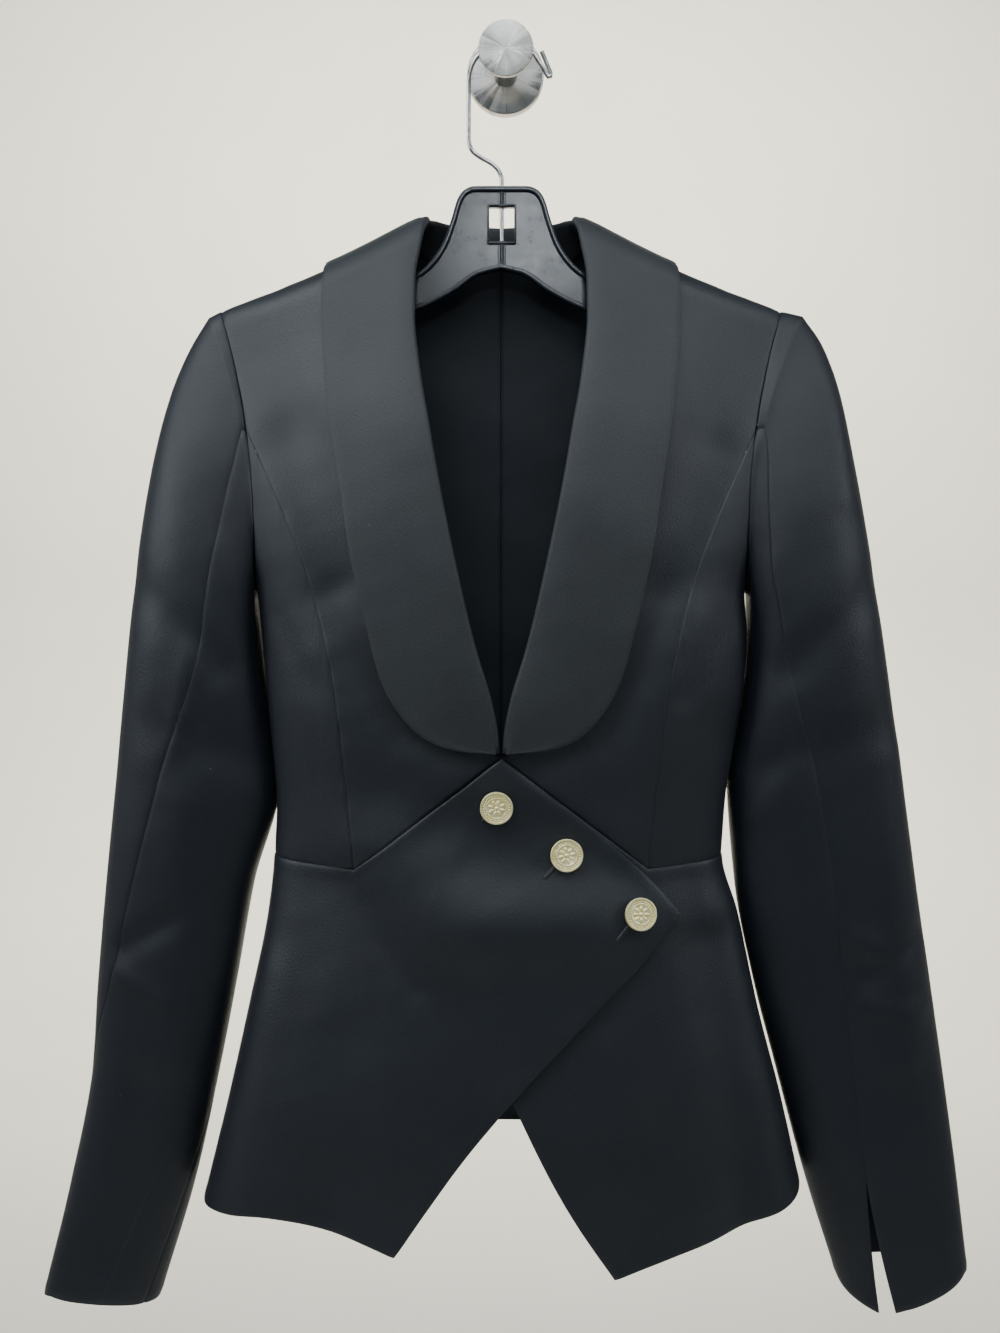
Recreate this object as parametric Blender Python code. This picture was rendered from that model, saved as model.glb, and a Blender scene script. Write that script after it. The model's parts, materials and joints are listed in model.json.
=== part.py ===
"""A fitted black blazer with a shawl collar and an asymmetric button front, on a hanger on a wall hook.

The frame: +X to the right of someone who looks at the front, +Z up, and the wall is the plane
Y = 0, so the front faces -Y. The origin is the middle of the wall hook's flange, on the wall.
Every cloth piece is a thin closed wall whose outer points are worked out on one body surface.
"""

import math
from collections import namedtuple

import bmesh
import bpy
import numpy as np
from mathutils import Matrix, Vector

# Driving sizes, in millimetres. "Depth" is the distance from the wall, towards the front.
MM = 0.001
CLOTH = 1.8  # cloth, interfacing and lining together
COLLAR_CLOTH = 2.2
SEAM_GAP = 0.3
GARMENT_MID = -3.0  # the jacket hangs this far to the side of the hook's axis

NECK_HALF = 45.0  # half the neck's width at the shoulder seams
SHOULDER_HALF = 178.5  # half the width from armhole seam to armhole seam
NECK_Z = -99.0  # where the shoulder seam meets the neck
SHOULDER_SLOPE = 0.427
SHOULDER_SAG = 3.0
NECK_RISE = 1.2  # how steeply the stand climbs inside the neck, behind the shoulder seam
BACK_NECK_Z = -118.0
ROLL_Z = -98.0  # top of the rolled collar behind the neck

ARMPIT_HALF = 157.0
ARMPIT_Z = -335.0
ARMHOLE_SCOOP_FRONT = 10.0
ARMHOLE_SCOOP_BACK = 6.0
PRINCESS_TOP_DROP = 83.5  # armhole depth at which the princess seam starts

WAIST_Z = -505.0
CORNER_X, CORNER_Z = 93.0, -508.0  # foot of the princess seam, where the waist seam turns up
APEX_Z = -436.0  # where the two diagonals meet under the lapels
HEM_BACK_Z = -711.0
OVERLAP_LIFT = 4.0  # the buttoned flap lies this far above the one under it
OVERLAP_FROM, OVERLAP_TO = -115.0, 10.0  # where across the front the flap climbs to that height

FRONT_POWER, BACK_POWER = 2.6, 3.2  # squareness of the body's oval, front and back
RIDGE_SHARE, RIDGE_DROP, CHEST_DROP = 0.34, 16.0, 190.0
BACK_RIDGE_DROP = 45.0

BUTTON_RADIUS, BUTTON_RIM, BUTTON_THICK, BUTTON_DOME = 10.2, 1.3, 2.4, 0.9
SHANK_RADIUS, SHANK_LENGTH, SHANK_SEAT = 2.0, 2.6, 0.4
BUTTON_STEPS = 20

HOOK_DEPTH = 37.0  # the hanger hangs in this plane
WIRE_RADIUS = 1.4
FLANGE_RADIUS, FLANGE_THICK, FLANGE_EDGE = 25.0, 8.0, 1.0
STEM_RADIUS = 7.6
DISC_RADIUS, DISC_BACK, DISC_FRONT = 17.0, 51.0, 55.0
TURNED_STEPS = 40

PLATE_THICK, PLATE_RIM, PLATE_POCKET = 10.0, 2.6, 3.2
WINDOW_HALF, WINDOW_TOP, WINDOW_FOOT = 8.0, -91.0, -113.0

# The body's sections. left and right are half widths at the side seams, front and back are depths.
TorsoRow = namedtuple("TorsoRow", "z left right front back middle")
TORSO = (
    TorsoRow(-80, 191, 191, 74, 12, 40),
    TorsoRow(-160, 190, 190, 86, 11, 40),
    TorsoRow(-240, 178, 178, 96, 8, 44),
    TorsoRow(-300, 166, 166, 100, 6, 46),
    TorsoRow(-335, 157, 157, 101, 6, 47),
    TorsoRow(-365, 154.3, 159, 100.8, 6.3, 47),
    TorsoRow(-395, 152, 157.5, 100, 7, 47),
    TorsoRow(-430, 149.4, 152.5, 97.2, 8.7, 47),
    TorsoRow(-470, 147, 147, 93, 11, 47),
    TorsoRow(-505, 149, 145.5, 91, 13, 47),
    TorsoRow(-545, 154, 156.5, 95, 10, 47),
    TorsoRow(-610, 168, 171, 103, 6, 48),
    TorsoRow(-670, 182, 187, 107, 5, 49),
    TorsoRow(-745, 201, 204.5, 109, 5, 50),
    TorsoRow(-800, 214, 217.5, 110, 5, 50),
)

# The largest soft folds: a line from one point to another, its half width, and its height (troughs below 0).
FoldRow = namedtuple("FoldRow", "sheet x_from z_from x_to z_to width height")
FRONT, BACK = 1, -1
FOLDS = (
    FoldRow(FRONT, -134, -245, -104, -325, 20, -3.5),
    FoldRow(FRONT, 132, -250, 106, -322, 19, -4.0),
    FoldRow(FRONT, -72, -506, -18, -545, 30, 4.0),
    FoldRow(FRONT, -18, -545, 84, -540, 28, 4.0),
    FoldRow(FRONT, -96, -518, -40, -588, 24, -3.0),
    FoldRow(FRONT, -158, -580, -178, -735, 17, 5.0),
    FoldRow(FRONT, 136, -560, 158, -745, 16, -6.0),
    FoldRow(FRONT, 178, -590, 186, -730, 14, 4.0),
    FoldRow(FRONT, -100, -620, -112, -745, 26, -4.0),
    FoldRow(BACK, -46, -560, -58, -735, 26, -7.0),
    FoldRow(BACK, 48, -560, 60, -735, 26, -7.0),
    FoldRow(BACK, -134, -570, -150, -740, 20, -6.0),
    FoldRow(BACK, 136, -570, 152, -735, 20, -6.0),
)

# Princess seam: half width at each height.
PrincessRow = namedtuple("PrincessRow", "z half")
PRINCESS = (
    PrincessRow(-287, 134),
    PrincessRow(-320, 121),
    PrincessRow(-351, 112),
    PrincessRow(-387, 104.5),
    PrincessRow(-425, 100),
    PrincessRow(-470, 96),
    PrincessRow(-508, 93),
)

# The shawl collar from the centre back to its tip. drop is the distance below the shoulder line, and it is
# negative behind it.
CollarRow = namedtuple("CollarRow", "roll_half roll_drop edge_half edge_drop")
COLLAR = (
    CollarRow(0.3, -53.0, 0.3, -98.0),
    CollarRow(6.7, -45.0, 20.0, -75.0),
    CollarRow(21.0, -27.8, 55.0, -42.0),
    CollarRow(33.2, -13.2, 85.0, -24.5),
    CollarRow(41.3, -3.4, 104.0, -6.0),
    CollarRow(45.0, 0.0, 110.0, 0.0),
    CollarRow(46.0, 1.3, 110.5, 1.5),
    CollarRow(47.2, 4.7, 111.0, 5.0),
    CollarRow(48.4, 10.0, 111.4, 11.0),
    CollarRow(49.6, 17.0, 111.6, 20.0),
    CollarRow(53.0, 37.0, 110.5, 46.0),
    CollarRow(53.0, 60.0, 108.0, 73.0),
    CollarRow(48.5, 101.0, 104.0, 102.0),
    CollarRow(43.5, 131.0, 97.5, 144.0),
    CollarRow(37.0, 171.0, 91.0, 191.0),
    CollarRow(26.5, 227.0, 82.0, 236.0),
    CollarRow(15.7, 278.0, 73.0, 275.0),
    CollarRow(6.0, 315.0, 60.0, 304.0),
    CollarRow(2.4, 334.0, 45.0, 325.0),
    CollarRow(1.2, 345.0, 28.0, 338.5),
    CollarRow(0.8, 352.0, 9.0, 348.5),
)
# Across the collar: share of the way from the roll to the edge, and the height of its inner face.
CollarProfile = namedtuple("CollarProfile", "share lift")
COLLAR_PROFILE = (
    CollarProfile(0.0, -2.0),
    CollarProfile(0.06, 1.0),
    CollarProfile(0.22, 1.7),
    CollarProfile(0.6, 1.3),
    CollarProfile(1.0, 1.0),
)
COLLAR_BACK_LIFT = 1.4  # it stands off this much further behind
ROLL_INSET = 4.0  # the panels under the collar stop this far short of its fold

# A sleeve's rings: its outer and inner points in the front view, and its depths at the front and the back.
# seam is the front seam's angle round the ring in degrees: 0 outside, 90 in front, 180 inside.
SleeveRow = namedtuple("SleeveRow", "out_x out_z in_x in_z front back scoop seam")
LEFT_SLEEVE = (
    SleeveRow(-189.5, -160.5, -161.6, -339, 73, 20, 13, 89),
    SleeveRow(-200.5, -179, -161.8, -344, 77, 17, 14, 91),
    SleeveRow(-212, -205, -161.2, -351, 80, 14, 11, 93),
    SleeveRow(-224.5, -250, -160, -362, 83, 12, 6, 96),
    SleeveRow(-235, -305, -157.8, -383, 83, 11, 2, 97),
    SleeveRow(-245, -375, -155.2, -416, 81, 12, 0, 90),
    SleeveRow(-254.5, -450, -153.2, -464, 78, 13, 0, 72),
    SleeveRow(-264.5, -527, -167, -527, 74, 15, 0, 60),
    SleeveRow(-272, -590, -180, -593, 71, 16, 0, 46),
    SleeveRow(-278.5, -652, -193, -656, 68, 18, 0, 12),
    SleeveRow(-295, -727, -211, -733, 64, 20, 0, -24),
    SleeveRow(-318, -814, -238, -820, 60, 23, 0, -40),
)
RIGHT_SLEEVE = (
    SleeveRow(189.5, -159.5, 157.4, -338, 73, 20, 15, 90),
    SleeveRow(202, -178, 158, -343, 77, 17, 17, 97),
    SleeveRow(212, -205, 158.3, -350, 80, 14, 15, 106),
    SleeveRow(222, -250, 158.2, -361, 83, 12, 9, 116),
    SleeveRow(233, -305, 157.2, -383, 83, 11, 3, 117),
    SleeveRow(246, -375, 153.4, -416, 81, 12, 0, 106),
    SleeveRow(259, -450, 147.6, -455, 76, 14, 0, 93),
    SleeveRow(272, -527, 152.5, -527, 72, 16, 0, 90),
    SleeveRow(283.5, -590, 165.8, -592, 69, 17, 0, 92),
    SleeveRow(294.5, -652, 183, -656, 66, 18, 0, 95),
    SleeveRow(307, -727, 204, -731, 63, 20, 0, 100),
    SleeveRow(318, -800, 227, -800, 60, 22, 0, 104),
)
# Each cuff: how far its hem drops at the front seam, over what angle each way, and how wide its slit stands open.
CuffRow = namedtuple("CuffRow", "point spread slit_open")
LEFT_CUFF = CuffRow(9.0, 80.0, 5.0)
RIGHT_CUFF = CuffRow(26.0, 80.0, 12.0)
SLIT_LENGTH = 68.0
SLEEVE_RINGS = 17
ELBOW_RING = 10  # each sleeve piece is two solids that meet here, so that its hollow can be kept open
SLEEVE_POWER = 2.3
SCOOP_BEHIND = 0.35  # share of a ring's scoop towards the body that it has behind
ARMHOLE_REACH = 5.0  # rings over which the sleeve takes on its own depth

# Rows and columns of the cloth's grids. Neighbours share them, so that their seams run side by side.
SHOULDER_COLUMNS, NECK_COLUMNS, SIDE_COLUMNS, FLAP_COLUMNS = 8, 5, 5, 7
BODICE_ROWS, PEPLUM_ROWS = 11, 12
FRONT_RIDGE_DROPS = (0.0, 1.3, 4.7, 10.0, 17.0)
FRONT_ARMHOLE_DROPS = FRONT_RIDGE_DROPS + (38.0, 60.0, PRINCESS_TOP_DROP)
BACK_ARMHOLE_DROPS = (0.0, 3.4, 13.2, 27.8, 45.0, 75.0, 105.0, 140.0)
HIND_SEAM_ROW = 5  # the back armhole row at which the sleeve's hind seam starts

Finish = namedtuple("Finish", "colour roughness metallic")
CLOTH_BLACK = Finish((0.012, 0.013, 0.016), 0.55, 0.0)
COLLAR_BLACK = Finish((0.015, 0.016, 0.018), 0.5, 0.0)
BUTTON_GOLD = Finish((0.75, 0.55, 0.22), 0.3, 1.0)
HANGER_BLACK = Finish((0.02, 0.02, 0.024), 0.25, 0.0)
WIRE_STEEL = Finish((0.6, 0.6, 0.6), 0.3, 1.0)
HOOK_STEEL = Finish((0.62, 0.6, 0.57), 0.35, 1.0)


# Curves and tables


def curve_through(knots, values):
    """A smooth curve through a table's rows that doesn't overshoot them, level past both ends."""
    order = np.argsort(knots)
    x, y = np.asarray(knots, float)[order], np.asarray(values, float)[order]
    step, rise = np.diff(x), np.diff(y)
    slope = rise / step
    tangent = np.concatenate([slope[:1], np.zeros(len(x) - 2), slope[-1:]])
    same_way = slope[:-1] * slope[1:] > 0
    both = np.where(same_way, slope[:-1] + slope[1:], 1.0)
    tangent[1:-1] = np.where(same_way, 2 * slope[:-1] * slope[1:] / both, 0.0)

    def at(where):
        where = np.clip(np.asarray(where, float), x[0], x[-1])
        i = np.clip(np.searchsorted(x, where, side="right") - 1, 0, len(step) - 1)
        t = (where - x[i]) / step[i]
        bend = (3 - 2 * t) * t * t
        ease_in = t * (1 - t) ** 2 * step[i] * tangent[i]
        ease_out = t * t * (t - 1) * step[i] * tangent[i + 1]
        return y[i] + bend * rise[i] + ease_in + ease_out

    return at


def columns_of(rows, knot):
    """One smooth curve for each other column of a table, by its name."""
    names = [name for name in rows[0]._fields if name != knot]
    knots = [getattr(row, knot) for row in rows]
    return {name: curve_through(knots, [getattr(row, name) for row in rows]) for name in names}


def smooth_step(share):
    share = np.clip(share, 0.0, 1.0)
    return share * share * (3 - 2 * share)


def quarter_round(share):
    """0 to 1 along a quarter of an ellipse that starts upright."""
    return np.sqrt(1 - (1 - np.clip(share, 0.0, 1.0)) ** 2)


# The body surface: x from the garment's middle, z, and the sheet, 1 in front or -1 behind


TORSO_AT = columns_of(TORSO, "z")


def shoulder_z(x, sheet):
    """Height of the shoulder line, carried on inside the neck: steeply behind it, straight in front."""
    out = np.abs(x) - NECK_HALF
    bare = NECK_Z - SHOULDER_SLOPE * out
    sag = SHOULDER_SAG * np.sin(np.pi * np.clip(out / (SHOULDER_HALF - NECK_HALF), 0, 1))
    inside_back = NECK_Z - NECK_RISE * out
    return np.where((out < 0) & (np.asarray(sheet) < 0), inside_back, bare - sag)


def side_half(x, z):
    """Half width of the body on the side that x is on."""
    return np.where(np.asarray(x) < 0, TORSO_AT["left"](z), TORSO_AT["right"](z))


def fold_height(x, z, sheet):
    """Sum of the soft folds at a point, each fading at its ends."""
    total = np.zeros(np.broadcast(x, z).shape)
    for fold in FOLDS:
        run = np.array([fold.x_to - fold.x_from, fold.z_to - fold.z_from])
        length = np.hypot(*run)
        along = ((x - fold.x_from) * run[0] + (z - fold.z_from) * run[1]) / length**2
        nearest = np.clip(along, 0, 1)
        away_x = x - fold.x_from - nearest * run[0]
        away_z = z - fold.z_from - nearest * run[1]
        away = np.hypot(away_x, away_z) / fold.width
        total += np.where(np.asarray(sheet) == fold.sheet, fold.height * np.exp(-away * away), 0.0)
    return total


def body_depth(x, z, sheet):
    """Distance from the wall of the body surface's outer face."""
    sheet = np.asarray(sheet)
    across = np.clip(np.abs(x) / side_half(x, z), 0, 1)
    power = np.where(sheet > 0, FRONT_POWER, BACK_POWER)
    round_side = (1 - across**power) ** (1 / power)
    drop = shoulder_z(x, sheet) - z
    chest = np.sin(np.pi / 2 * np.clip(drop / CHEST_DROP, 0, 1))
    front_drop = RIDGE_SHARE * quarter_round(drop / RIDGE_DROP) + (1 - RIDGE_SHARE) * chest
    round_shoulder = np.where(sheet > 0, front_drop, quarter_round(drop / BACK_RIDGE_DROP))
    middle = TORSO_AT["middle"](z)
    full = np.where(sheet > 0, TORSO_AT["front"](z) - middle, middle - TORSO_AT["back"](z))
    out = (full * round_shoulder + fold_height(x, z, sheet)) * round_side
    return middle + np.where(sheet > 0, out, -out)


def body_points(x, z, sheet, lift=0.0):
    """Points on the body surface, moved out along its normal by lift, as x, depth and z."""
    x, z, sheet = np.broadcast_arrays(np.asarray(x, float), np.asarray(z, float), sheet)
    step = 0.05
    inward = np.where(x < 0, step, -step)
    slope_x = (body_depth(x + inward, z, sheet) - body_depth(x, z, sheet)) / inward
    slope_z = (body_depth(x, z, sheet) - body_depth(x, z - step, sheet)) / step
    normal = np.stack([-sheet * slope_x, sheet * np.ones_like(x), -sheet * slope_z], axis=-1)
    normal /= np.linalg.norm(normal, axis=-1, keepdims=True)
    point = np.stack([x, body_depth(x, z, sheet), z], axis=-1)
    return point + np.asarray(lift)[..., None] * normal, normal


# Grids: four sides of a patch in the body's (angle, z) plane, filled smoothly


def angle_of(x, z):
    """How far round the body x lies: 0 in the middle, a quarter turn at the side seam."""
    return np.arcsin(np.clip(np.asarray(x, float) / side_half(x, z), -1, 1))


def flat(x, z):
    x, z = np.broadcast_arrays(np.asarray(x, float), np.asarray(z, float))
    return np.stack([angle_of(x, z), z], axis=-1)


def shares_along(line):
    """How far along a line its points are, from 0 to 1, in the front view."""
    x = np.sin(line[:, 0]) * side_half(line[:, 0], line[:, 1])
    steps = np.hypot(np.diff(x), np.diff(line[:, 1]))
    return np.concatenate([[0.0], np.cumsum(steps)]) / steps.sum()


def patch(top, bottom, first, last):
    """Fills the space between four sides. top and bottom run from first to last, and those run downwards."""
    across = ((shares_along(top) + shares_along(bottom)) / 2)[None, :, None]
    down = ((shares_along(first) + shares_along(last)) / 2)[:, None, None]
    between_rows = (1 - down) * top[None] + down * bottom[None]
    between_ends = (1 - across) * first[:, None] + across * last[:, None]
    corners = (1 - down) * ((1 - across) * top[0] + across * top[-1])
    corners = corners + down * ((1 - across) * bottom[0] + across * bottom[-1])
    grid = between_rows + between_ends - corners
    angle, z = grid[..., 0], grid[..., 1]
    return np.sin(angle) * side_half(angle, z), z


def spread(start, end, count):
    """Points on a straight line in the front view."""
    share = np.linspace(0, 1, count + 1)
    return start[0] + (end[0] - start[0]) * share, start[1] + (end[1] - start[1]) * share


def joined(*lines):
    """Lines end to end, each shared end once."""
    return np.concatenate([lines[0]] + [line[1:] for line in lines[1:]])


# Cloth solids


def world(points):
    """From x beside the garment's middle, depth and z in millimetres to the script's frame."""
    points = np.asarray(points, float)
    x, depth, z = points[..., 0] + GARMENT_MID, points[..., 1], points[..., 2]
    return np.stack([x, -depth, z], axis=-1) * MM


def pulled_in(grid, sides):
    """A grid whose named sides stop half a seam gap short, square to the seam."""
    grid = grid.copy()
    views = {
        "top": grid,
        "bottom": grid[::-1],
        "first": grid.transpose(1, 0, 2),
        "last": grid.transpose(1, 0, 2)[::-1],
    }
    for side, amount in sides.items():
        lines = views[side]
        along = np.gradient(lines[0], axis=0)
        along /= np.linalg.norm(along, axis=1, keepdims=True)
        inward = lines[1] - lines[0]
        inward -= (inward * along).sum(1, keepdims=True) * along
        inward /= np.linalg.norm(inward, axis=1, keepdims=True)
        lines[0] += amount * inward
    return grid


def new_object(name, mesh, finish):
    material = bpy.data.materials.new(name)
    material.use_nodes = True
    shader = material.node_tree.nodes["Principled BSDF"]
    shader.inputs["Base Color"].default_value = (*finish.colour, 1.0)
    shader.inputs["Roughness"].default_value = finish.roughness
    shader.inputs["Metallic"].default_value = finish.metallic
    material.diffuse_color = (*finish.colour, 1.0)
    mesh.materials.append(material)
    made = bpy.data.objects.new(name, mesh)
    bpy.context.scene.collection.objects.link(made)
    return made


def mesh_from(name, build):
    """A mesh from a function that fills a bmesh."""
    mesh = bpy.data.meshes.new(name)
    shape = bmesh.new()
    build(shape)
    bmesh.ops.recalc_face_normals(shape, faces=shape.faces)
    shape.to_mesh(mesh)
    shape.free()
    mesh.shade_smooth()
    mesh.set_sharp_from_angle(angle=math.radians(40))
    return mesh


def wall_object(name, outer, inner, finish, parent):
    """A closed wall between two grids of points."""

    def build(shape):
        sheets = [
            [[shape.verts.new(point) for point in row] for row in world(grid)] for grid in (outer, inner)
        ]
        rows, columns = outer.shape[:2]
        for sheet in sheets:
            for r in range(rows - 1):
                for c in range(columns - 1):
                    shape.faces.new((sheet[r][c], sheet[r][c + 1], sheet[r + 1][c + 1], sheet[r + 1][c]))
        rim = [(0, c) for c in range(columns)] + [(r, columns - 1) for r in range(1, rows)]
        rim += [(rows - 1, c) for c in range(columns - 2, -1, -1)] + [(r, 0) for r in range(rows - 2, 0, -1)]
        for (r0, c0), (r1, c1) in zip(rim, rim[1:] + rim[:1]):
            shape.faces.new((sheets[0][r0][c0], sheets[0][r1][c1], sheets[1][r1][c1], sheets[1][r0][c0]))

    made = new_object(name, mesh_from(name, build), finish)
    made.parent = parent
    return made


def body_panel(name, x, z, sheet, parent, lift=0.0, seams=None):
    """A panel of the body: its outer face lies on the body surface, or lift above it."""
    half = SEAM_GAP / 2
    seams = {"top": half, "bottom": half, "first": half, "last": half} if seams is None else seams
    outer, normal = body_points(x, z, sheet, lift)
    inner = outer - CLOTH * normal
    return wall_object(name, pulled_in(outer, seams), pulled_in(inner, seams), CLOTH_BLACK, parent)


# Seam lines shared by neighbouring panels. side is -1 on the left and 1 on the right


def armhole_line(turn, scoop):
    """The armhole in the front view: turn 0 at the shoulder, half a turn at the armpit."""
    mid_x, half_x = (SHOULDER_HALF + ARMPIT_HALF) / 2, (SHOULDER_HALF - ARMPIT_HALF) / 2
    tip_z = float(shoulder_z(SHOULDER_HALF, FRONT))
    mid_z, half_z = (tip_z + ARMPIT_Z) / 2, (tip_z - ARMPIT_Z) / 2
    x = mid_x + half_x * np.cos(turn) - scoop * np.sin(turn) ** 2
    return x, mid_z + half_z * np.cos(turn)


def armhole_turns(drops, scoop):
    """The turns round the armhole at given drops below the shoulder line."""
    turns = np.linspace(0, np.pi, 721)
    x, z = armhole_line(turns, scoop)
    return np.interp(drops, shoulder_z(x, FRONT) - z, turns)


FRONT_TURNS = armhole_turns(FRONT_ARMHOLE_DROPS, ARMHOLE_SCOOP_FRONT)
UNDER_TURNS = np.linspace(FRONT_TURNS[-1], np.pi, SIDE_COLUMNS + 1)
BACK_TURNS = np.append(armhole_turns(BACK_ARMHOLE_DROPS, ARMHOLE_SCOOP_BACK), np.pi)


def armhole_flat(side, turns, scoop):
    x, z = armhole_line(turns, scoop)
    line = flat(side * x, z)
    line[turns == np.pi, 0] = side * np.pi / 2
    return line


def princess_flat(side):
    top_x, top_z = armhole_line(FRONT_TURNS[-1], ARMHOLE_SCOOP_FRONT)
    rows = (PrincessRow(float(top_z), float(top_x)),) + PRINCESS
    half = curve_through([row.z for row in rows], [row.half for row in rows])
    z = np.linspace(top_z, CORNER_Z, BODICE_ROWS + 1)
    return flat(side * half(z), z)


def side_flat(side, top_z, foot_z, rows):
    z = np.linspace(top_z, foot_z, rows + 1)
    return np.stack([np.full_like(z, side * np.pi / 2), z], axis=-1)


def shoulder_flat(side):
    half = np.linspace(NECK_HALF + ROLL_INSET, SHOULDER_HALF, SHOULDER_COLUMNS + 1)
    return flat(side * half, shoulder_z(half, FRONT))


def diagonal_flat(side):
    """From the apex under the lapels to the foot of the princess seam."""
    x, z = spread((0.0, APEX_Z), (side * CORNER_X, CORNER_Z), SHOULDER_COLUMNS)
    return flat(x, z)


def waist_side_flat(side):
    """From the foot of the princess seam to the side seam."""
    start = angle_of(side * CORNER_X, CORNER_Z)
    share = np.linspace(0, 1, SIDE_COLUMNS + 1)
    angle = start + (side * np.pi / 2 - start) * share
    return np.stack([angle, CORNER_Z + (WAIST_Z - CORNER_Z) * share], axis=-1)


def waist_back_flat(side):
    """From the centre back to the side seam."""
    angle = side * np.linspace(0, np.pi / 2, SHOULDER_COLUMNS + NECK_COLUMNS + 1)
    return np.stack([angle, np.full_like(angle, WAIST_Z)], axis=-1)


ROLL_FRONT = tuple(row for row in COLLAR if row.roll_drop >= 0)
ROLL_HALF_AT = curve_through([row.roll_drop for row in ROLL_FRONT], [row.roll_half for row in ROLL_FRONT])


def roll_flat(side, rows):
    """The front edge, where the lapel turns over: the first rows follow the shoulder's ridge."""
    foot_drop = shoulder_z(0.0, FRONT) - APEX_Z
    ridge = len(FRONT_RIDGE_DROPS)
    drops = np.append(FRONT_RIDGE_DROPS, np.linspace(FRONT_RIDGE_DROPS[-1], foot_drop, rows - ridge + 2)[1:])
    half = ROLL_HALF_AT(drops) + ROLL_INSET
    half[0] = NECK_HALF + ROLL_INSET
    half[-1] = 0.0
    return flat(side * half, shoulder_z(half, FRONT) - drops)


# Panels


def make_front(side, name, parent):
    rows = len(FRONT_TURNS) - 1 + BODICE_ROWS
    armhole = armhole_flat(side, FRONT_TURNS, ARMHOLE_SCOOP_FRONT)
    outer_side = joined(armhole, princess_flat(side))
    x, z = patch(shoulder_flat(side), diagonal_flat(side), roll_flat(side, rows), outer_side)
    return body_panel(name, x, z, FRONT, parent)


def make_side(side, name, parent):
    under_arm = armhole_flat(side, UNDER_TURNS, ARMHOLE_SCOOP_FRONT)
    seam = side_flat(side, ARMPIT_Z, WAIST_Z, BODICE_ROWS)
    x, z = patch(under_arm, waist_side_flat(side), princess_flat(side), seam)
    return body_panel(name, x, z, FRONT, parent)


def back_neck_z(half):
    end = NECK_HALF + ROLL_INSET
    return BACK_NECK_Z + (float(shoulder_z(end, BACK)) - BACK_NECK_Z) * (half / end) ** 3


def make_back(side, name, parent):
    neck_x = np.linspace(0, NECK_HALF + ROLL_INSET, NECK_COLUMNS + 1)
    neck = flat(side * neck_x, back_neck_z(neck_x))
    top = joined(neck, shoulder_flat(side))
    armhole = armhole_flat(side, BACK_TURNS, ARMHOLE_SCOOP_BACK)
    outer_side = joined(armhole, side_flat(side, ARMPIT_Z, WAIST_Z, BODICE_ROWS))
    share = shares_along(outer_side)
    centre = flat(np.zeros_like(share), BACK_NECK_Z + (WAIST_Z - BACK_NECK_Z) * share)
    x, z = patch(top, waist_back_flat(side), centre, outer_side)
    return body_panel(name, x, z, BACK, parent)


# A front peplum: its flap's far corner, how far the flap's upper edge bows out and its long edge bows in and how
# far down that bow sits, the hanging point, the hem's height at the side seam, and how far it arches up between.
PeplumShape = namedtuple(
    "PeplumShape", "side flap_x flap_z flap_bow edge_bow edge_skew point_x point_z corner_z hem_arch"
)
WRAP = PeplumShape(-1, 113.0, -538.0, 8.0, 11.0, 1.3, -68.0, -755.0, -741.5, 12.8)
UNDER = PeplumShape(1, -50.0, -538.0, 0.0, -6.3, 2.2, 72.5, -770.5, -729.0, 6.0)


def peplum_grid(shape):
    """A front peplum with its pointed flap, from its own side seam across to the far corner."""
    side = shape.side
    corner = (shape.flap_x, shape.flap_z)
    flap_x, flap_z = spread((0.0, APEX_Z), corner, FLAP_COLUMNS)
    share = np.linspace(0, 1, FLAP_COLUMNS + 1)
    flap_z = flap_z + shape.flap_bow * np.sin(np.pi * share**1.5)
    top = joined(waist_side_flat(side)[::-1], diagonal_flat(side)[::-1], flat(flap_x, flap_z))
    columns = len(top) - 1
    hem_share = np.linspace(0, 1, columns + 1)
    side_angle = side * np.pi / 2
    point_angle = angle_of(shape.point_x, shape.point_z)
    hem_z = shape.corner_z + (shape.point_z - shape.corner_z) * hem_share**1.3
    hem_z = hem_z + shape.hem_arch * np.sin(np.pi * hem_share**1.6)
    hem = np.stack([side_angle + (point_angle - side_angle) * hem_share, hem_z], axis=-1)
    edge_x, edge_z = spread(corner, (shape.point_x, shape.point_z), PEPLUM_ROWS)
    share = np.linspace(0, 1, PEPLUM_ROWS + 1)
    bow = shape.edge_bow * np.sin(np.pi * share**shape.edge_skew) ** 1.2
    edge = flat(edge_x + side * bow, edge_z)
    return patch(top, hem, side_flat(side, WAIST_Z, shape.corner_z, PEPLUM_ROWS), edge)


def overlap_share(x):
    return smooth_step((x - OVERLAP_FROM) / (OVERLAP_TO - OVERLAP_FROM))


def make_wrap(name, parent):
    x, z = peplum_grid(WRAP)
    return body_panel(name, x, z, FRONT, parent, lift=OVERLAP_LIFT * overlap_share(x))


def make_under(name, parent):
    x, z = peplum_grid(UNDER)
    return body_panel(name, x, z, FRONT, parent, lift=OVERLAP_LIFT * (overlap_share(x) - 1))


def make_back_peplum(name, parent):
    top = joined(waist_back_flat(-1)[::-1], waist_back_flat(1))
    share = np.abs(top[:, 0]) / (np.pi / 2)
    corner_z = np.where(top[:, 0] < 0, WRAP.corner_z, UNDER.corner_z)
    hem = np.stack([top[:, 0], HEM_BACK_Z + (corner_z - HEM_BACK_Z) * share**2], axis=-1)
    left = side_flat(-1, WAIST_Z, WRAP.corner_z, PEPLUM_ROWS)
    right = side_flat(1, WAIST_Z, UNDER.corner_z, PEPLUM_ROWS)
    x, z = patch(top, hem, left, right)
    return body_panel(name, x, z, BACK, parent)


# Collar


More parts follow.
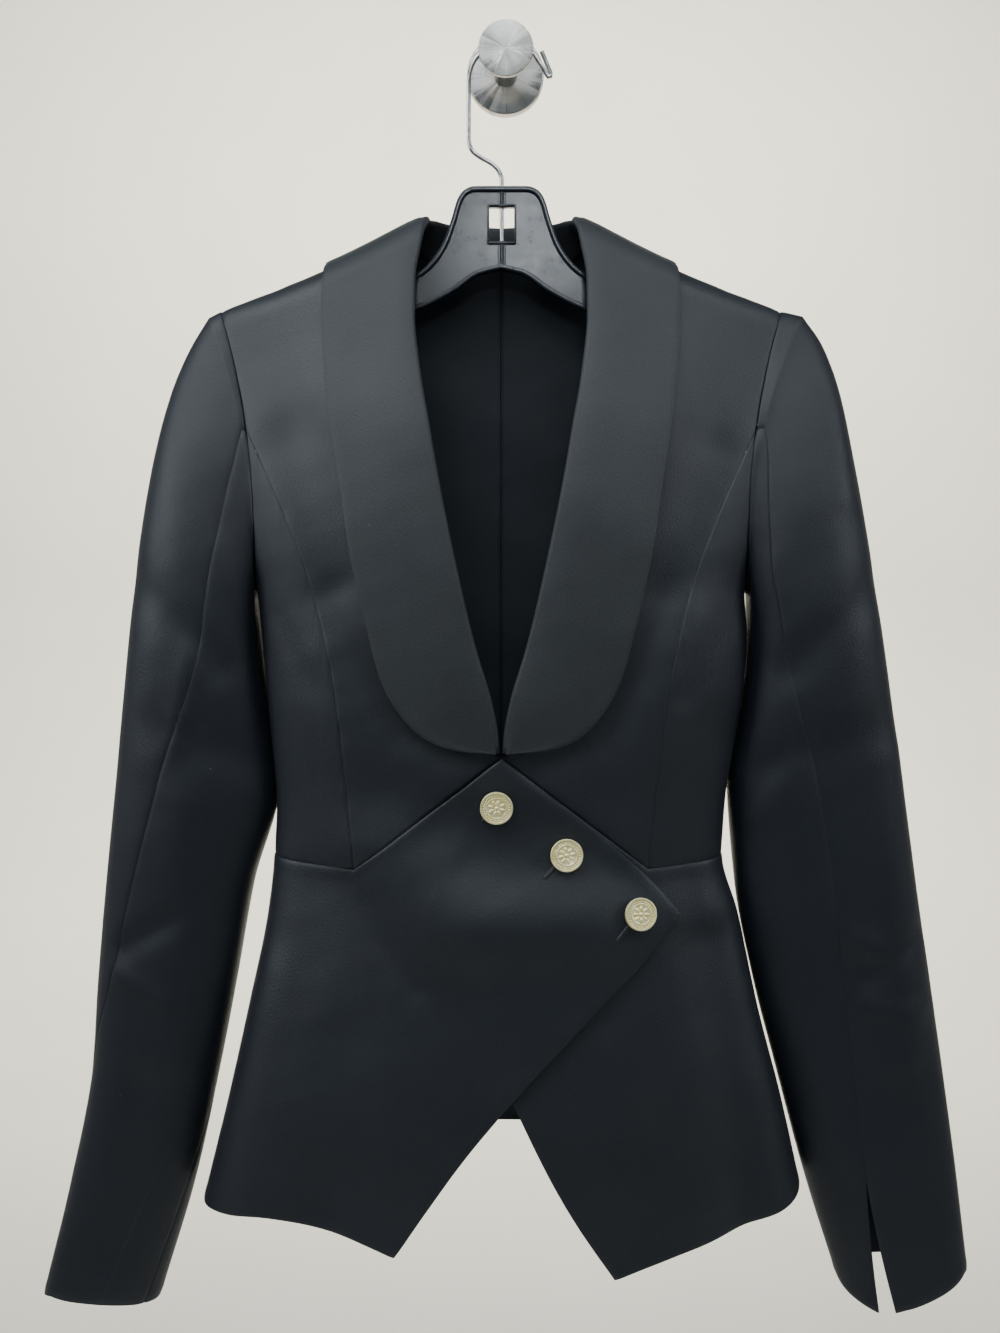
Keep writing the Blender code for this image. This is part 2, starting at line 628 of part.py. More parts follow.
def on_shoulder(half, drop, side):
    """x, z and sheet of a point at a drop below the shoulder line, or behind it where the drop is negative."""
    sheet = np.where(drop < 0, BACK, FRONT)
    return side * half, shoulder_z(half, sheet) - np.abs(drop), sheet


def make_collar(side, name, parent):
    knots = np.arange(len(COLLAR))
    first_front = next(i for i, row in enumerate(COLLAR) if row.roll_drop > FRONT_RIDGE_DROPS[-2])
    stations = np.concatenate([knots[:first_front], np.arange(first_front, knots[-1] + 0.5, 0.5)])
    rows = np.stack([curve_through(knots, column)(stations) for column in np.array(COLLAR).T], axis=-1)
    profile = np.array(COLLAR_PROFILE)
    share = profile[:, 0][None, :]
    half = rows[:, 0:1] * (1 - share) + rows[:, 2:3] * share
    drop = rows[:, 1:2] * (1 - share) + rows[:, 3:4] * share
    x, z, sheet = on_shoulder(half, drop, side)
    lift = profile[:, 1] + np.where(drop < 0, COLLAR_BACK_LIFT, 0.0) * (share > 0)
    inner, normal = body_points(x, z, sheet, lift)
    outer = inner + COLLAR_CLOTH * normal
    return wall_object(name, outer, inner, COLLAR_BLACK, parent)


def make_stand(name, parent):
    """The collar's stand: from the back neck seam up to just under the roll, one side and then the other."""
    half = np.linspace(0, NECK_HALF + ROLL_INSET, NECK_COLUMNS + 1)[:-1]
    x = np.concatenate([-half[:0:-1], half])
    share = np.linspace(0, 1, 3)[:, None]
    z = (ROLL_Z - ROLL_INSET) * (1 - share) + back_neck_z(np.abs(x)) * share
    seams = {"bottom": SEAM_GAP / 2}
    return body_panel(name, np.broadcast_to(x, z.shape), z, BACK, parent, seams=seams)


# Sleeves


def sleeve_turns(rows, ring_share, seam):
    """Angles round a ring for the upper and the under sleeve, from the front seam to the hind seam."""
    armhole_upper = np.concatenate([FRONT_TURNS[::-1], -BACK_TURNS[1 : HIND_SEAM_ROW + 1]])
    armhole_under = np.concatenate([UNDER_TURNS, 2 * np.pi - BACK_TURNS[-2 : HIND_SEAM_ROW - 1 : -1]])
    made = []
    for armhole, turn in ((armhole_upper, -np.pi), (armhole_under, np.pi)):
        even = seam + turn * np.linspace(0, 1, len(armhole))
        settle = smooth_step(ring_share * 3)
        made.append(armhole * (1 - settle) + even * settle)
    return made


def sleeve_ring(row, turn):
    """Points of one ring, as x, depth and z."""
    power = 2 / SLEEVE_POWER
    cosine, sine = np.cos(turn), np.sin(turn)
    reach = np.sign(cosine) * np.abs(cosine) ** power
    bulge = np.sign(sine) * np.abs(sine) ** power
    out, inn = np.array([row.out_x, row.out_z]), np.array([row.in_x, row.in_z])
    chord = (out - inn) / 2
    inward = np.array([chord[1], -chord[0]]) / np.hypot(*chord)
    if inward[0] * out[0] > 0:
        inward = -inward
    scoop = row.scoop * np.where(sine > 0, 1.0, SCOOP_BEHIND) * sine**2
    flat_points = (out + inn) / 2 + reach[:, None] * chord + scoop[:, None] * inward
    depth = (row.front + row.back) / 2 + bulge * (row.front - row.back) / 2
    return np.stack([flat_points[:, 0], depth, flat_points[:, 1]], axis=-1)


def armhole_ring(side, turn):
    """The armhole itself, on the body surface, with the body's normals."""
    wrapped = (turn + np.pi) % (2 * np.pi) - np.pi
    behind = (wrapped < 0) | (turn > np.pi)
    scoop = np.where(behind, ARMHOLE_SCOOP_BACK, ARMHOLE_SCOOP_FRONT)
    x, z = armhole_line(np.abs(wrapped), scoop)
    half = side_half(side * x, z)
    x = np.where(np.isclose(np.abs(wrapped), np.pi), half, x)
    return body_points(side * x, z, np.where(behind, BACK, FRONT))


def sleeve_grids(side, table, cuff):
    """Outer and inner grids of the upper and the under sleeve."""
    knots = np.arange(1, len(table) + 1)
    curve = {name: curve_through(knots, [getattr(row, name) for row in table]) for name in SleeveRow._fields}
    rings, normals, counts = [], [], None
    stations = np.concatenate([[0.0], np.linspace(1, len(table), SLEEVE_RINGS)])
    length = abs(table[-1].out_z - table[0].out_z)
    for station in stations:
        share = station / len(table)
        row = SleeveRow(*(float(curve[name](station)) for name in SleeveRow._fields))
        seam = math.radians(row.seam)
        upper, under = sleeve_turns(table, share, seam)
        counts = len(upper)
        turn = np.concatenate([upper, under])
        if station == 0:
            ring, normal = armhole_ring(side, turn)
        else:
            ring = sleeve_ring(row, turn)
            ring[:, 0] -= GARMENT_MID
            settle = smooth_step(station / ARMHOLE_REACH)
            ring[:, 1] += (1 - settle) * (armhole_ring(side, turn)[0][:, 1] - ring[:, 1])
            normal = None
            foot = smooth_step((share - 0.72) / 0.28)
            away = np.degrees(np.abs(turn - seam))
            away = np.minimum(away, 360 - away)
            ring[:, 2] -= cuff.point * foot * np.clip(1 - away / cuff.spread, 0, 1)
            left_to_go = length * (1 - share)
            opening = cuff.slit_open / 2 * np.clip(1 - left_to_go / SLIT_LENGTH, 0, 1)
            ring[0] += opening * unit(ring[1] - ring[0])
            ring[counts] += opening * unit(ring[counts + 1] - ring[counts])
        rings.append(ring)
        normals.append(normal)
    rings = np.array(rings)
    upper, under = rings[:, :counts], rings[:, counts:]
    whole = np.concatenate([upper, under[:, -2:0:-1]], axis=1)
    along = np.gradient(whole, axis=0)
    around = (np.roll(whole, -1, axis=1) - np.roll(whole, 1, axis=1)) / 2
    normal = np.cross(around, along)
    normal /= np.linalg.norm(normal, axis=-1, keepdims=True)
    centre = whole.mean(axis=1, keepdims=True)
    normal *= np.sign(((whole - centre) * normal).sum(-1).mean())
    upper_normal = normal[:, :counts].copy()
    under_normal = np.concatenate([normal[:, :1], normal[:, : counts - 2 : -1]], axis=1)
    for own, body in ((upper_normal, normals[0][:counts]), (under_normal, normals[0][counts:])):
        alike = smooth_step(((own[0] * body).sum(-1, keepdims=True) - 0.3) / 0.5)
        mixed = alike * body + (1 - alike) * own[0]
        own[0] = mixed / np.linalg.norm(mixed, axis=-1, keepdims=True)
    return (upper, upper_normal), (under, under_normal)


def unit(vector):
    return vector / np.linalg.norm(vector)


def make_sleeve(side, table, cuff, name, parent):
    half = SEAM_GAP / 2
    seams = {"top": half, "first": half, "last": half}
    for part, (outer, normal) in zip(("upper", "under"), sleeve_grids(side, table, cuff)):
        grids = [pulled_in(grid, seams) for grid in (outer, outer - CLOTH * normal)]
        upper_arm = [grid[: ELBOW_RING + 1] for grid in grids]
        forearm = [pulled_in(grid[ELBOW_RING:], {"top": SEAM_GAP}) for grid in grids]
        wall_object(f"{name}_{part}", *upper_arm, CLOTH_BLACK, parent)
        wall_object(f"{name}_{part}_forearm", *forearm, CLOTH_BLACK, parent)


# Buttons, hanger and wall hook


def turned(name, profile, finish, steps):
    """A solid turned round the local Z axis from (radius, height) pairs that start and end on the axis."""

    def build(shape):
        line = [shape.verts.new((radius * MM, 0, height * MM)) for radius, height in profile]
        edges = [shape.edges.new(pair) for pair in zip(line, line[1:])]
        bmesh.ops.spin(
            shape,
            geom=line + edges,
            cent=(0, 0, 0),
            axis=(0, 0, 1),
            angle=math.tau,
            steps=steps,
            use_merge=True,
        )
        bmesh.ops.remove_doubles(shape, verts=shape.verts, dist=1e-6)
        bmesh.ops.dissolve_degenerate(shape, edges=shape.edges, dist=1e-7)

    return new_object(name, mesh_from(name, build), finish)


BUTTONS = ((-2.5, -465.5), (40.0, -497.0), (85.0, -534.5))


def make_button(name, x, z, cloth, parent):
    """A flat shank button with a raised rim and a low dome, set square to the cloth under it."""
    back = SHANK_LENGTH
    face = back + BUTTON_THICK
    groove = BUTTON_RADIUS - BUTTON_RIM
    profile = (
        (0, 0),
        (SHANK_RADIUS, 0),
        (SHANK_RADIUS, back),
        (BUTTON_RADIUS - 0.8, back),
        (BUTTON_RADIUS, back + 0.8),
        (BUTTON_RADIUS, face - 0.4),
        (BUTTON_RADIUS - 0.4, face),
        (groove + 0.3, face),
        (groove, face - 0.5),
        (groove * 0.62, face - 0.5 + BUTTON_DOME * 0.7),
        (0, face - 0.5 + BUTTON_DOME),
    )
    made = turned(name, profile, BUTTON_GOLD, BUTTON_STEPS)
    above, _ = body_points(np.array([x]), np.array([z]), FRONT, np.array([OVERLAP_LIFT + CLOTH]))
    _, seat, normal, _ = cloth.closest_point_on_mesh(Vector(world(above)[0]))
    made.location = seat + normal * SHANK_SEAT * MM
    made.rotation_euler = normal.to_track_quat("Z", "Y").to_euler()
    made.parent = parent
    return made


def make_wall_hook(name):
    profile = (
        (0, 0),
        (FLANGE_RADIUS, 0),
        (FLANGE_RADIUS, FLANGE_THICK - FLANGE_EDGE),
        (FLANGE_RADIUS - FLANGE_EDGE, FLANGE_THICK),
        (STEM_RADIUS, FLANGE_THICK),
        (STEM_RADIUS, DISC_BACK),
        (DISC_RADIUS - FLANGE_EDGE / 2, DISC_BACK),
        (DISC_RADIUS, DISC_BACK + FLANGE_EDGE / 2),
        (DISC_RADIUS, DISC_FRONT - FLANGE_EDGE / 2),
        (DISC_RADIUS - FLANGE_EDGE / 2, DISC_FRONT),
        (0, DISC_FRONT),
    )
    made = turned(name, profile, HOOK_STEEL, TURNED_STEPS)
    made.data.transform(Matrix.Rotation(math.radians(90), 4, "X"))
    return made


HOOK_RADIUS = 23.8
HOOK_TOP_Z = STEM_RADIUS + SEAM_GAP + WIRE_RADIUS + 0.2
PLATE_TOP_Z = -79.0
# The hook's neck, from the plate up to the straight side, as x and z.
HOOK_NECK = ((-2.5, -86.0), (-2.5, -74.0), (-4.5, -68.5), (-9.0, -64.2), (-16.5, -60.0), (-21.4, -56.0), (-23.3, -50.0))
HOOK_END, HOOK_TIP = 15, (26.0, -9.5)  # where the arc stops, in degrees, and the tip that flares out


def make_hanger_hook(name):
    centre_z = HOOK_TOP_Z - HOOK_RADIUS
    arc = []
    for degrees in range(180, HOOK_END, -15):
        turn = math.radians(degrees)
        arc.append((0.5 + HOOK_RADIUS * math.cos(turn), centre_z + HOOK_RADIUS * math.sin(turn)))
    route = list(HOOK_NECK) + [(-23.3, -35.0)] + arc + [HOOK_TIP]
    curve = bpy.data.curves.new(name, "CURVE")
    curve.dimensions = "3D"
    curve.bevel_depth = WIRE_RADIUS * MM
    curve.bevel_resolution = 2
    curve.use_fill_caps = True
    spline = curve.splines.new("POLY")
    spline.points.add(len(route) - 1)
    for point, (x, z) in zip(spline.points, route):
        point.co = (x * MM, -HOOK_DEPTH * MM, z * MM, 1)
    return new_object(name, curve, WIRE_STEEL)


# Half of the hanger's outline: its upper edge from the middle to the tip, and its lower edge, as x and z.
HANGER_UPPER = ((0, -79), (17, -79), (23.5, -81.5), (27.5, -87), (31, -98), (36.5, -113), (44, -124.5), (54, -132.5))
HANGER_LOWER = ((150, -172.5), (110, -163.5), (80, -160.5), (54, -155), (30, -143.5), (14, -133), (0, -129.5))
ARM_TIP_X, ARM_SEAT = 166.0, 1.0
ARM_TAPER_FROM, ARM_TAPER, ARM_FORWARD = 50.0, 0.5, 4.0  # thinner towards the tips, and bent forward


def hanger_outline():
    """The whole outline, right half and then left. The arms meet the cloth only at the shoulders' ends."""
    tip_z = float(shoulder_z(ARM_TIP_X, FRONT)) - CLOTH - ARM_SEAT
    start_x, start_z = HANGER_UPPER[-1]
    arm = []
    for share in (0.25, 0.5, 0.75, 0.92):
        x = start_x + (ARM_TIP_X - start_x) * share
        arm.append((x, start_z + (tip_z - start_z) * math.sin(share * math.pi / 2)))
    end = [(ARM_TIP_X - 2, tip_z - 0.6), (ARM_TIP_X + 1, tip_z - 5), (ARM_TIP_X + 0.5, tip_z - 14), (ARM_TIP_X - 5, tip_z - 20)]
    right = list(HANGER_UPPER) + arm + end + list(HANGER_LOWER)
    left = [(-x, z) for x, z in right[-2:0:-1]]
    return right + left


def make_hanger_body(name):
    """A moulded plate with two arms: a rim all round its edge, a thinner web, and a window for the hook."""

    def build(shape):
        front = (PLATE_THICK / 2 - HOOK_DEPTH) * MM
        outline = [shape.verts.new(((x + GARMENT_MID) * MM, front, z * MM)) for x, z in hanger_outline()]
        face = shape.faces.new(outline)
        grown = bmesh.ops.extrude_face_region(shape, geom=[face])
        moved = [item for item in grown["geom"] if isinstance(item, bmesh.types.BMVert)]
        bmesh.ops.translate(shape, verts=moved, vec=(0, -PLATE_THICK * MM, 0))
        bmesh.ops.recalc_face_normals(shape, faces=shape.faces)
        big = [f for f in shape.faces if len(f.verts) > 4]
        for plate in big:
            bmesh.ops.inset_region(shape, faces=[plate], thickness=PLATE_RIM * MM, use_even_offset=True)
            plate.normal_update()
            bmesh.ops.translate(shape, verts=plate.verts, vec=-plate.normal * PLATE_POCKET * MM)
        bmesh.ops.triangulate(shape, faces=[f for f in shape.faces if len(f.verts) > 4])
        for vert in shape.verts:
            out = abs(vert.co.x / MM - GARMENT_MID)
            share = float(smooth_step((out - ARM_TAPER_FROM) / (ARM_TIP_X - ARM_TAPER_FROM)))
            beside = vert.co.y + HOOK_DEPTH * MM
            vert.co.y = beside * (1 - ARM_TAPER * share) - (HOOK_DEPTH + ARM_FORWARD * share) * MM

    body = new_object(name, mesh_from(name, build), HANGER_BLACK)
    cut_through(body, "window", (2 * WINDOW_HALF, 30, WINDOW_TOP - WINDOW_FOOT), (WINDOW_TOP + WINDOW_FOOT) / 2)
    bore = (2 * (WIRE_RADIUS + SEAM_GAP),) * 2 + (20,)
    cut_through(body, "wire_bore", bore, PLATE_TOP_Z - 3)
    return body


def cut_through(body, name, size, z):
    """Cuts a box out of the hanger's plate, in the hook's plane, with a Boolean."""

    def build(shape):
        bmesh.ops.create_cube(shape, size=1.0)
        bmesh.ops.scale(shape, vec=Vector(size) * MM, verts=shape.verts)

    cutter = new_object(name, mesh_from(name, build), HANGER_BLACK)
    cutter.location = (HOOK_NECK[0][0] * MM, -HOOK_DEPTH * MM, z * MM)
    cutter.hide_render = True
    cutter.display_type = "WIRE"
    cut = body.modifiers.new(name, "BOOLEAN")
    cut.operation = "DIFFERENCE"
    cut.object = cutter


def main():
    for old in list(bpy.data.objects):
        bpy.data.objects.remove(old)
    blazer = bpy.data.objects.new("blazer", None)
    bpy.context.scene.collection.objects.link(blazer)
    for side, word in ((-1, "left"), (1, "right")):
        make_front(side, f"front_{word}", blazer)
        make_side(side, f"side_{word}", blazer)
        make_back(side, f"back_{word}", blazer)
        make_collar(side, f"collar_{word}", blazer)
    make_stand("collar_stand", blazer)
    wrap = make_wrap("peplum_wrap", blazer)
    make_under("peplum_under", blazer)
    make_back_peplum("peplum_back", blazer)
    make_sleeve(-1, LEFT_SLEEVE, LEFT_CUFF, "sleeve_left", blazer)
    make_sleeve(1, RIGHT_SLEEVE, RIGHT_CUFF, "sleeve_right", blazer)
    for number, (x, z) in enumerate(BUTTONS, 1):
        make_button(f"button_{number}", x, z, wrap, blazer)
    make_hanger_body("hanger_body")
    make_hanger_hook("hanger_hook")
    make_wall_hook("wall_hook")


main()
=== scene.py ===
# %% [markdown]
# # A black blazer on its hanger
# The jacket hangs from a steel hook on a wall. Its cloth is a black suiting with a soft sheen, its collar
# is one long shawl, and a pointed flap buttons across the front below the waist.
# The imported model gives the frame, so every piece here is made in the same place, in metres.

import json
import math
from collections import namedtuple

import bpy
import numpy as np
from mathutils import Matrix, Vector

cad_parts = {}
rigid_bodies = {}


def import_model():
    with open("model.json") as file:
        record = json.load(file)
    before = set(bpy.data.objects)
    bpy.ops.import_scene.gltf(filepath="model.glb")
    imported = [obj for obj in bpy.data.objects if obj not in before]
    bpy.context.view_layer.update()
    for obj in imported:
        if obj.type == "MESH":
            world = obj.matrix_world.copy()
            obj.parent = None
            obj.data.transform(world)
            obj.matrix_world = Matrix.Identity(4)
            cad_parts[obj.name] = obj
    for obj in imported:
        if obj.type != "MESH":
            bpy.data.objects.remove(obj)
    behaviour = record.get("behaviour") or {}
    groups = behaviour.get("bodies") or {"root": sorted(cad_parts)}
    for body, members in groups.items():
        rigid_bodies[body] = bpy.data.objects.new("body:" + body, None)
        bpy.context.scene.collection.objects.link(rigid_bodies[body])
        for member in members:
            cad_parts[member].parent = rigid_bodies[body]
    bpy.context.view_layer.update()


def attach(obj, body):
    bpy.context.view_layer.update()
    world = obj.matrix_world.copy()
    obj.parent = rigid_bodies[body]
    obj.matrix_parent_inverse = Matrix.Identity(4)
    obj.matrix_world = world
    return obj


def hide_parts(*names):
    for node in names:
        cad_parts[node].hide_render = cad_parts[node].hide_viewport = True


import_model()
bpy.ops.object.select_all(action="DESELECT")

# %% [markdown]
# The photograph was taken from about arm's length in front of the jacket, a little above its middle, and
# tilted down by six degrees. A vertical sensor fit keeps the framing whatever the picture's width.

# %% Camera
CAMERA_PLACE = (-0.0036, -0.890, -0.295)
CAMERA_TILT = math.radians(84)
SENSOR_HEIGHT, FOCAL_ROWS, PICTURE_ROWS = 36, 1300, 1333
bpy.ops.object.camera_add(location=CAMERA_PLACE, rotation=(CAMERA_TILT, 0, 0))
camera = bpy.context.object
camera.data.sensor_fit = "VERTICAL"
camera.data.sensor_height = SENSOR_HEIGHT
camera.data.lens = SENSOR_HEIGHT * FOCAL_ROWS / PICTURE_ROWS
bpy.context.scene.camera = camera
print("camera lens:", round(camera.data.lens, 1), "mm")

# %% [markdown]
# ## The cloth's surface
# A tailor fits flat panels to one body shape. The same is done here: a table gives the body's sections,
# and every panel takes its points from that one surface, so that neighbours meet at their seams.
# Sizes are in millimetres, and "depth" is the distance from the wall.

# %% Sizes of the jacket
MM = 0.001
CLOTH = 1.8
GARMENT_MID = -3.0
SEAM_HALF_GAP = -0.03
NECK_HALF, SHOULDER_HALF = 45.0, 178.5
NECK_Z, SHOULDER_SLOPE, SHOULDER_SAG, NECK_RISE = -99.0, 0.427, 3.0, 1.2
BACK_NECK_Z, ROLL_Z, ROLL_INSET = -118.0, -98.0, 4.0
ARMPIT_HALF, ARMPIT_Z = 157.0, -335.0
SCOOP_FRONT, SCOOP_BACK = 10.0, 6.0
PRINCESS_DROP = 83.5
WAIST_Z, CORNER_X, CORNER_Z, APEX_Z = -505.0, 93.0, -508.0, -436.0
HEM_BACK_Z = -711.0
OVERLAP_LIFT, OVERLAP_FROM, OVERLAP_TO = 4.0, -115.0, 10.0
FRONT_POWER, BACK_POWER = 2.6, 3.2
RIDGE_SHARE, RIDGE_DROP, CHEST_DROP, BACK_RIDGE_DROP = 0.34, 16.0, 190.0, 45.0
FRONT, BACK = 1, -1
SIDES = ((-1, "left"), (1, "right"))


def rows_of(kind, *rows):
    return tuple(kind(*row) for row in rows)


TorsoRow = namedtuple("TorsoRow", "z left right front back middle")
TORSO = rows_of(
    TorsoRow,
    (-80, 191, 191, 74, 12, 40),
    (-160, 190, 190, 86, 11, 40),
    (-240, 178, 178, 96, 8, 44),
    (-300, 166, 166, 100, 6, 46),
    (-335, 157, 157, 101, 6, 47),
    (-365, 154.3, 159, 100.8, 6.3, 47),
    (-395, 152, 157.5, 100, 7, 47),
    (-430, 149.4, 152.5, 97.2, 8.7, 47),
    (-470, 147, 147, 93, 11, 47),
    (-505, 149, 145.5, 91, 13, 47),
    (-545, 154, 156.5, 95, 10, 47),
    (-610, 168, 171, 103, 6, 48),
    (-670, 182, 187, 107, 5, 49),
    (-745, 201, 204.5, 109, 5, 50),
    (-800, 214, 217.5, 110, 5, 50),
)
print("chest depth:", max(row.front - row.back for row in TORSO), "mm")

# %% [markdown]
# Hanging cloth falls in soft folds. Each is listed as a straight or bent line in the front view
# with its own width and height. A height below 0 is a trough.


# %% Folds of the body
FoldRow = namedtuple("FoldRow", "sheet path width height")


def folds_on(sheet, *rows):
    return tuple(FoldRow(sheet, *row) for row in rows)


FRONT_FOLDS = folds_on(
    FRONT,
    (((-134, -245), (-104, -325)), 20, -3.5),
    (((132, -250), (106, -322)), 19, -4.0),
    (((-72, -506), (-18, -545)), 30, 4.0),
    (((-18, -545), (84, -540)), 28, 4.0),
    (((-96, -518), (-40, -588)), 24, -1.0),
    (((-158, -580), (-178, -735)), 17, 5.0),
    (((136, -560), (158, -745)), 16, -6.0),
    (((178, -590), (186, -730)), 14, 4.0),
    (((-100, -620), (-112, -745)), 26, -4.0),
    (((-62, -500), (-30, -526), (46, -534)), 34, 6.2),
    (((-80, -503), (-10, -463)), 12, -1.0),
    (((14, -467), (80, -514)), 12, -0.8),
    (((-98, -514), (-76, -552), (-52, -582)), 8, -1.1),
    (((104, -548), (66, -604)), 12, -1.0),
    (((-120, -515), (-128, -590)), 12, -1.0),
    (((118, -515), (126, -600)), 11, -1.1),
    (((-103, -336), (-88, -372), (-60, -416), (-10, -438)), 14, -2.6),
    (((-112, -376), (-104, -410), (-98, -450), (-95, -488)), 20, 2.6),
    (((96, -340), (80, -385), (60, -424), (22, -440)), 14, -2.8),
    (((122, -350), (106, -396), (99, -430), (93, -482)), 20, 3.4),
    (((-140, -350), (-118, -392)), 9, -1.0),
    (((138, -352), (116, -398)), 9, -1.1),
    (((-150, -190), (-128, -232)), 14, -0.7),
    (((152, -188), (132, -236)), 14, -0.7),
)
BACK_FOLDS = folds_on(
    BACK,
    (((-46, -560), (-58, -735)), 26, -7.0),
    (((48, -560), (60, -735)), 26, -7.0),
    (((-134, -570), (-150, -740)), 20, -6.0),
    (((136, -570), (152, -735)), 20, -6.0),
    (((-100, -250), (-60, -330)), 22, -2.0),
    (((104, -246), (66, -336)), 20, -2.2),
    (((-60, -455), (-110, -490)), 14, -1.8),
    (((58, -458), (112, -486)), 13, -1.8),
)
FOLDS = FRONT_FOLDS + BACK_FOLDS
print("folds on the body:", len(FOLDS))

# %% [markdown]
# Tables become smooth curves here. A curve that doesn't overshoot its rows keeps the silhouette clean,
# which a plain spline wouldn't.


# %% Curves through a table
def curve_through(knots, values):
    order = np.argsort(knots)
    x, y = np.asarray(knots, float)[order], np.asarray(values, float)[order]
    step, rise = np.diff(x), np.diff(y)
    slope = rise / step
    tangent = np.concatenate([slope[:1], np.zeros(len(x) - 2), slope[-1:]])
    same_way = slope[:-1] * slope[1:] > 0
    both = np.where(same_way, slope[:-1] + slope[1:], 1.0)
    tangent[1:-1] = np.where(same_way, 2 * slope[:-1] * slope[1:] / both, 0.0)

    def at(where):
        where = np.clip(np.asarray(where, float), x[0], x[-1])
        i = np.clip(np.searchsorted(x, where, side="right") - 1, 0, len(step) - 1)
        t = (where - x[i]) / step[i]
        bend = (3 - 2 * t) * t * t
        ease_in = t * (1 - t) ** 2 * step[i] * tangent[i]
        ease_out = t * t * (t - 1) * step[i] * tangent[i + 1]
        return y[i] + bend * rise[i] + ease_in + ease_out

    return at


def smooth_step(share):
    share = np.clip(share, 0.0, 1.0)
    return share * share * (3 - 2 * share)


def quarter_round(share):
    return np.sqrt(1 - (1 - np.clip(share, 0.0, 1.0)) ** 2)


TORSO_AT = {
    name: curve_through([row.z for row in TORSO], [getattr(row, name) for row in TORSO])
    for name in TorsoRow._fields[1:]
}
print("half width at the waist:", float(TORSO_AT["left"](WAIST_Z)))

# %% [markdown]
# The body surface itself: how deep it lies at each place in the front view, with its folds, and the way
# it faces there. A little unevenness stands for cloth that is never quite flat.


# %% The body surface
CALM_DROP, SLOPE_STEP = 40.0, 0.05
BROAD_WAVES, SMALL_WAVES = 0.35, 0.1


def shoulder_z(x, sheet):
    out = np.abs(x) - NECK_HALF
    sag = SHOULDER_SAG * np.sin(np.pi * np.clip(out / (SHOULDER_HALF - NECK_HALF), 0, 1))
    inside_back = NECK_Z - NECK_RISE * out
    return np.where((out < 0) & (np.asarray(sheet) < 0), inside_back, NECK_Z - SHOULDER_SLOPE * out - sag)


def side_half(x, z):
    return np.where(np.asarray(x) < 0, TORSO_AT["left"](z), TORSO_AT["right"](z))


def line_fold(x, z, fold):
    nearest = np.full(np.shape(x), np.inf)
    for (x_from, z_from), (x_to, z_to) in zip(fold.path, fold.path[1:]):
        run_x, run_z = x_to - x_from, z_to - z_from
        along = ((x - x_from) * run_x + (z - z_from) * run_z) / (run_x**2 + run_z**2)
        share = np.clip(along, 0, 1)
        away = np.hypot(x - x_from - share * run_x, z - z_from - share * run_z)
        nearest = np.minimum(nearest, away)
    return fold.height * np.exp(-((nearest / fold.width) ** 2))


def unevenness(x, z):
    broad = np.sin(0.071 * x + 0.043 * z + 0.8) * np.sin(0.052 * z - 0.031 * x + 2.1)
    small = np.sin(0.19 * x - 0.11 * z + 1.7) * np.sin(0.16 * z + 0.07 * x)
    return BROAD_WAVES * broad + SMALL_WAVES * small


def body_depth(x, z, sheet, folded=FOLDS):
    sheet = np.asarray(sheet)
    across = np.clip(np.abs(x) / side_half(x, z), 0, 1)
    power = np.where(sheet > 0, FRONT_POWER, BACK_POWER)
    round_side = (1 - across**power) ** (1 / power)
    drop = shoulder_z(x, sheet) - z
    chest = np.sin(np.pi / 2 * np.clip(drop / CHEST_DROP, 0, 1))
    front_drop = RIDGE_SHARE * quarter_round(drop / RIDGE_DROP) + (1 - RIDGE_SHARE) * chest
    round_shoulder = np.where(sheet > 0, front_drop, quarter_round(drop / BACK_RIDGE_DROP))
    middle = TORSO_AT["middle"](z)
    full = np.where(sheet > 0, TORSO_AT["front"](z) - middle, middle - TORSO_AT["back"](z))
    folds = unevenness(x, z) * smooth_step(drop / CALM_DROP)
    for fold in folded:
        folds = folds + np.where(sheet == fold.sheet, line_fold(x, z, fold), 0.0)
    out = (full * round_shoulder + folds) * round_side
    return middle + np.where(sheet > 0, out, -out)


def body_points(x, z, sheet, lift=0.0, folded=FOLDS):
    x, z, sheet = np.broadcast_arrays(np.asarray(x, float), np.asarray(z, float), sheet)
    inward = np.where(x < 0, SLOPE_STEP, -SLOPE_STEP)
    depth = body_depth(x, z, sheet, folded)
    slope_x = (body_depth(x + inward, z, sheet, folded) - depth) / inward
    slope_z = (depth - body_depth(x, z - SLOPE_STEP, sheet, folded)) / SLOPE_STEP
    normal = np.stack([-sheet * slope_x, sheet * np.ones_like(x), -sheet * slope_z], axis=-1)
    normal /= np.linalg.norm(normal, axis=-1, keepdims=True)
    point = np.stack([x, depth, z], axis=-1)
    return point + np.asarray(lift)[..., None] * normal, normal


print("depth at the apex:", round(float(body_depth(0.0, APEX_Z, FRONT)), 1), "mm")

# %% [markdown]
# A panel is cut between four seam lines. Its points are spread between them, closer together near the
# edges, where the cloth bends sharply into the seam.


# %% Filling a panel between its seams
def flat(x, z):
    x, z = np.broadcast_arrays(np.asarray(x, float), np.asarray(z, float))
    return np.stack([np.arcsin(np.clip(x / side_half(x, z), -1, 1)), z], axis=-1)


def steps_along(line):
    x = np.sin(line[:, 0]) * side_half(line[:, 0], line[:, 1])
    return np.hypot(np.diff(x), np.diff(line[:, 1]))


def shares_along(line):
    steps = steps_along(line)
    return np.concatenate([[0.0], np.cumsum(steps)]) / steps.sum()


def length_of(line):
    return steps_along(line).sum()


def at_shares(line, shares):
    have = shares_along(line)
    return np.stack([np.interp(shares, have, line[:, 0]), np.interp(shares, have, line[:, 1])], axis=-1)


EDGE_STEPS = np.array([0.0, 0.45, 1.0, 1.9])
EDGE_CLEAR = 1.4


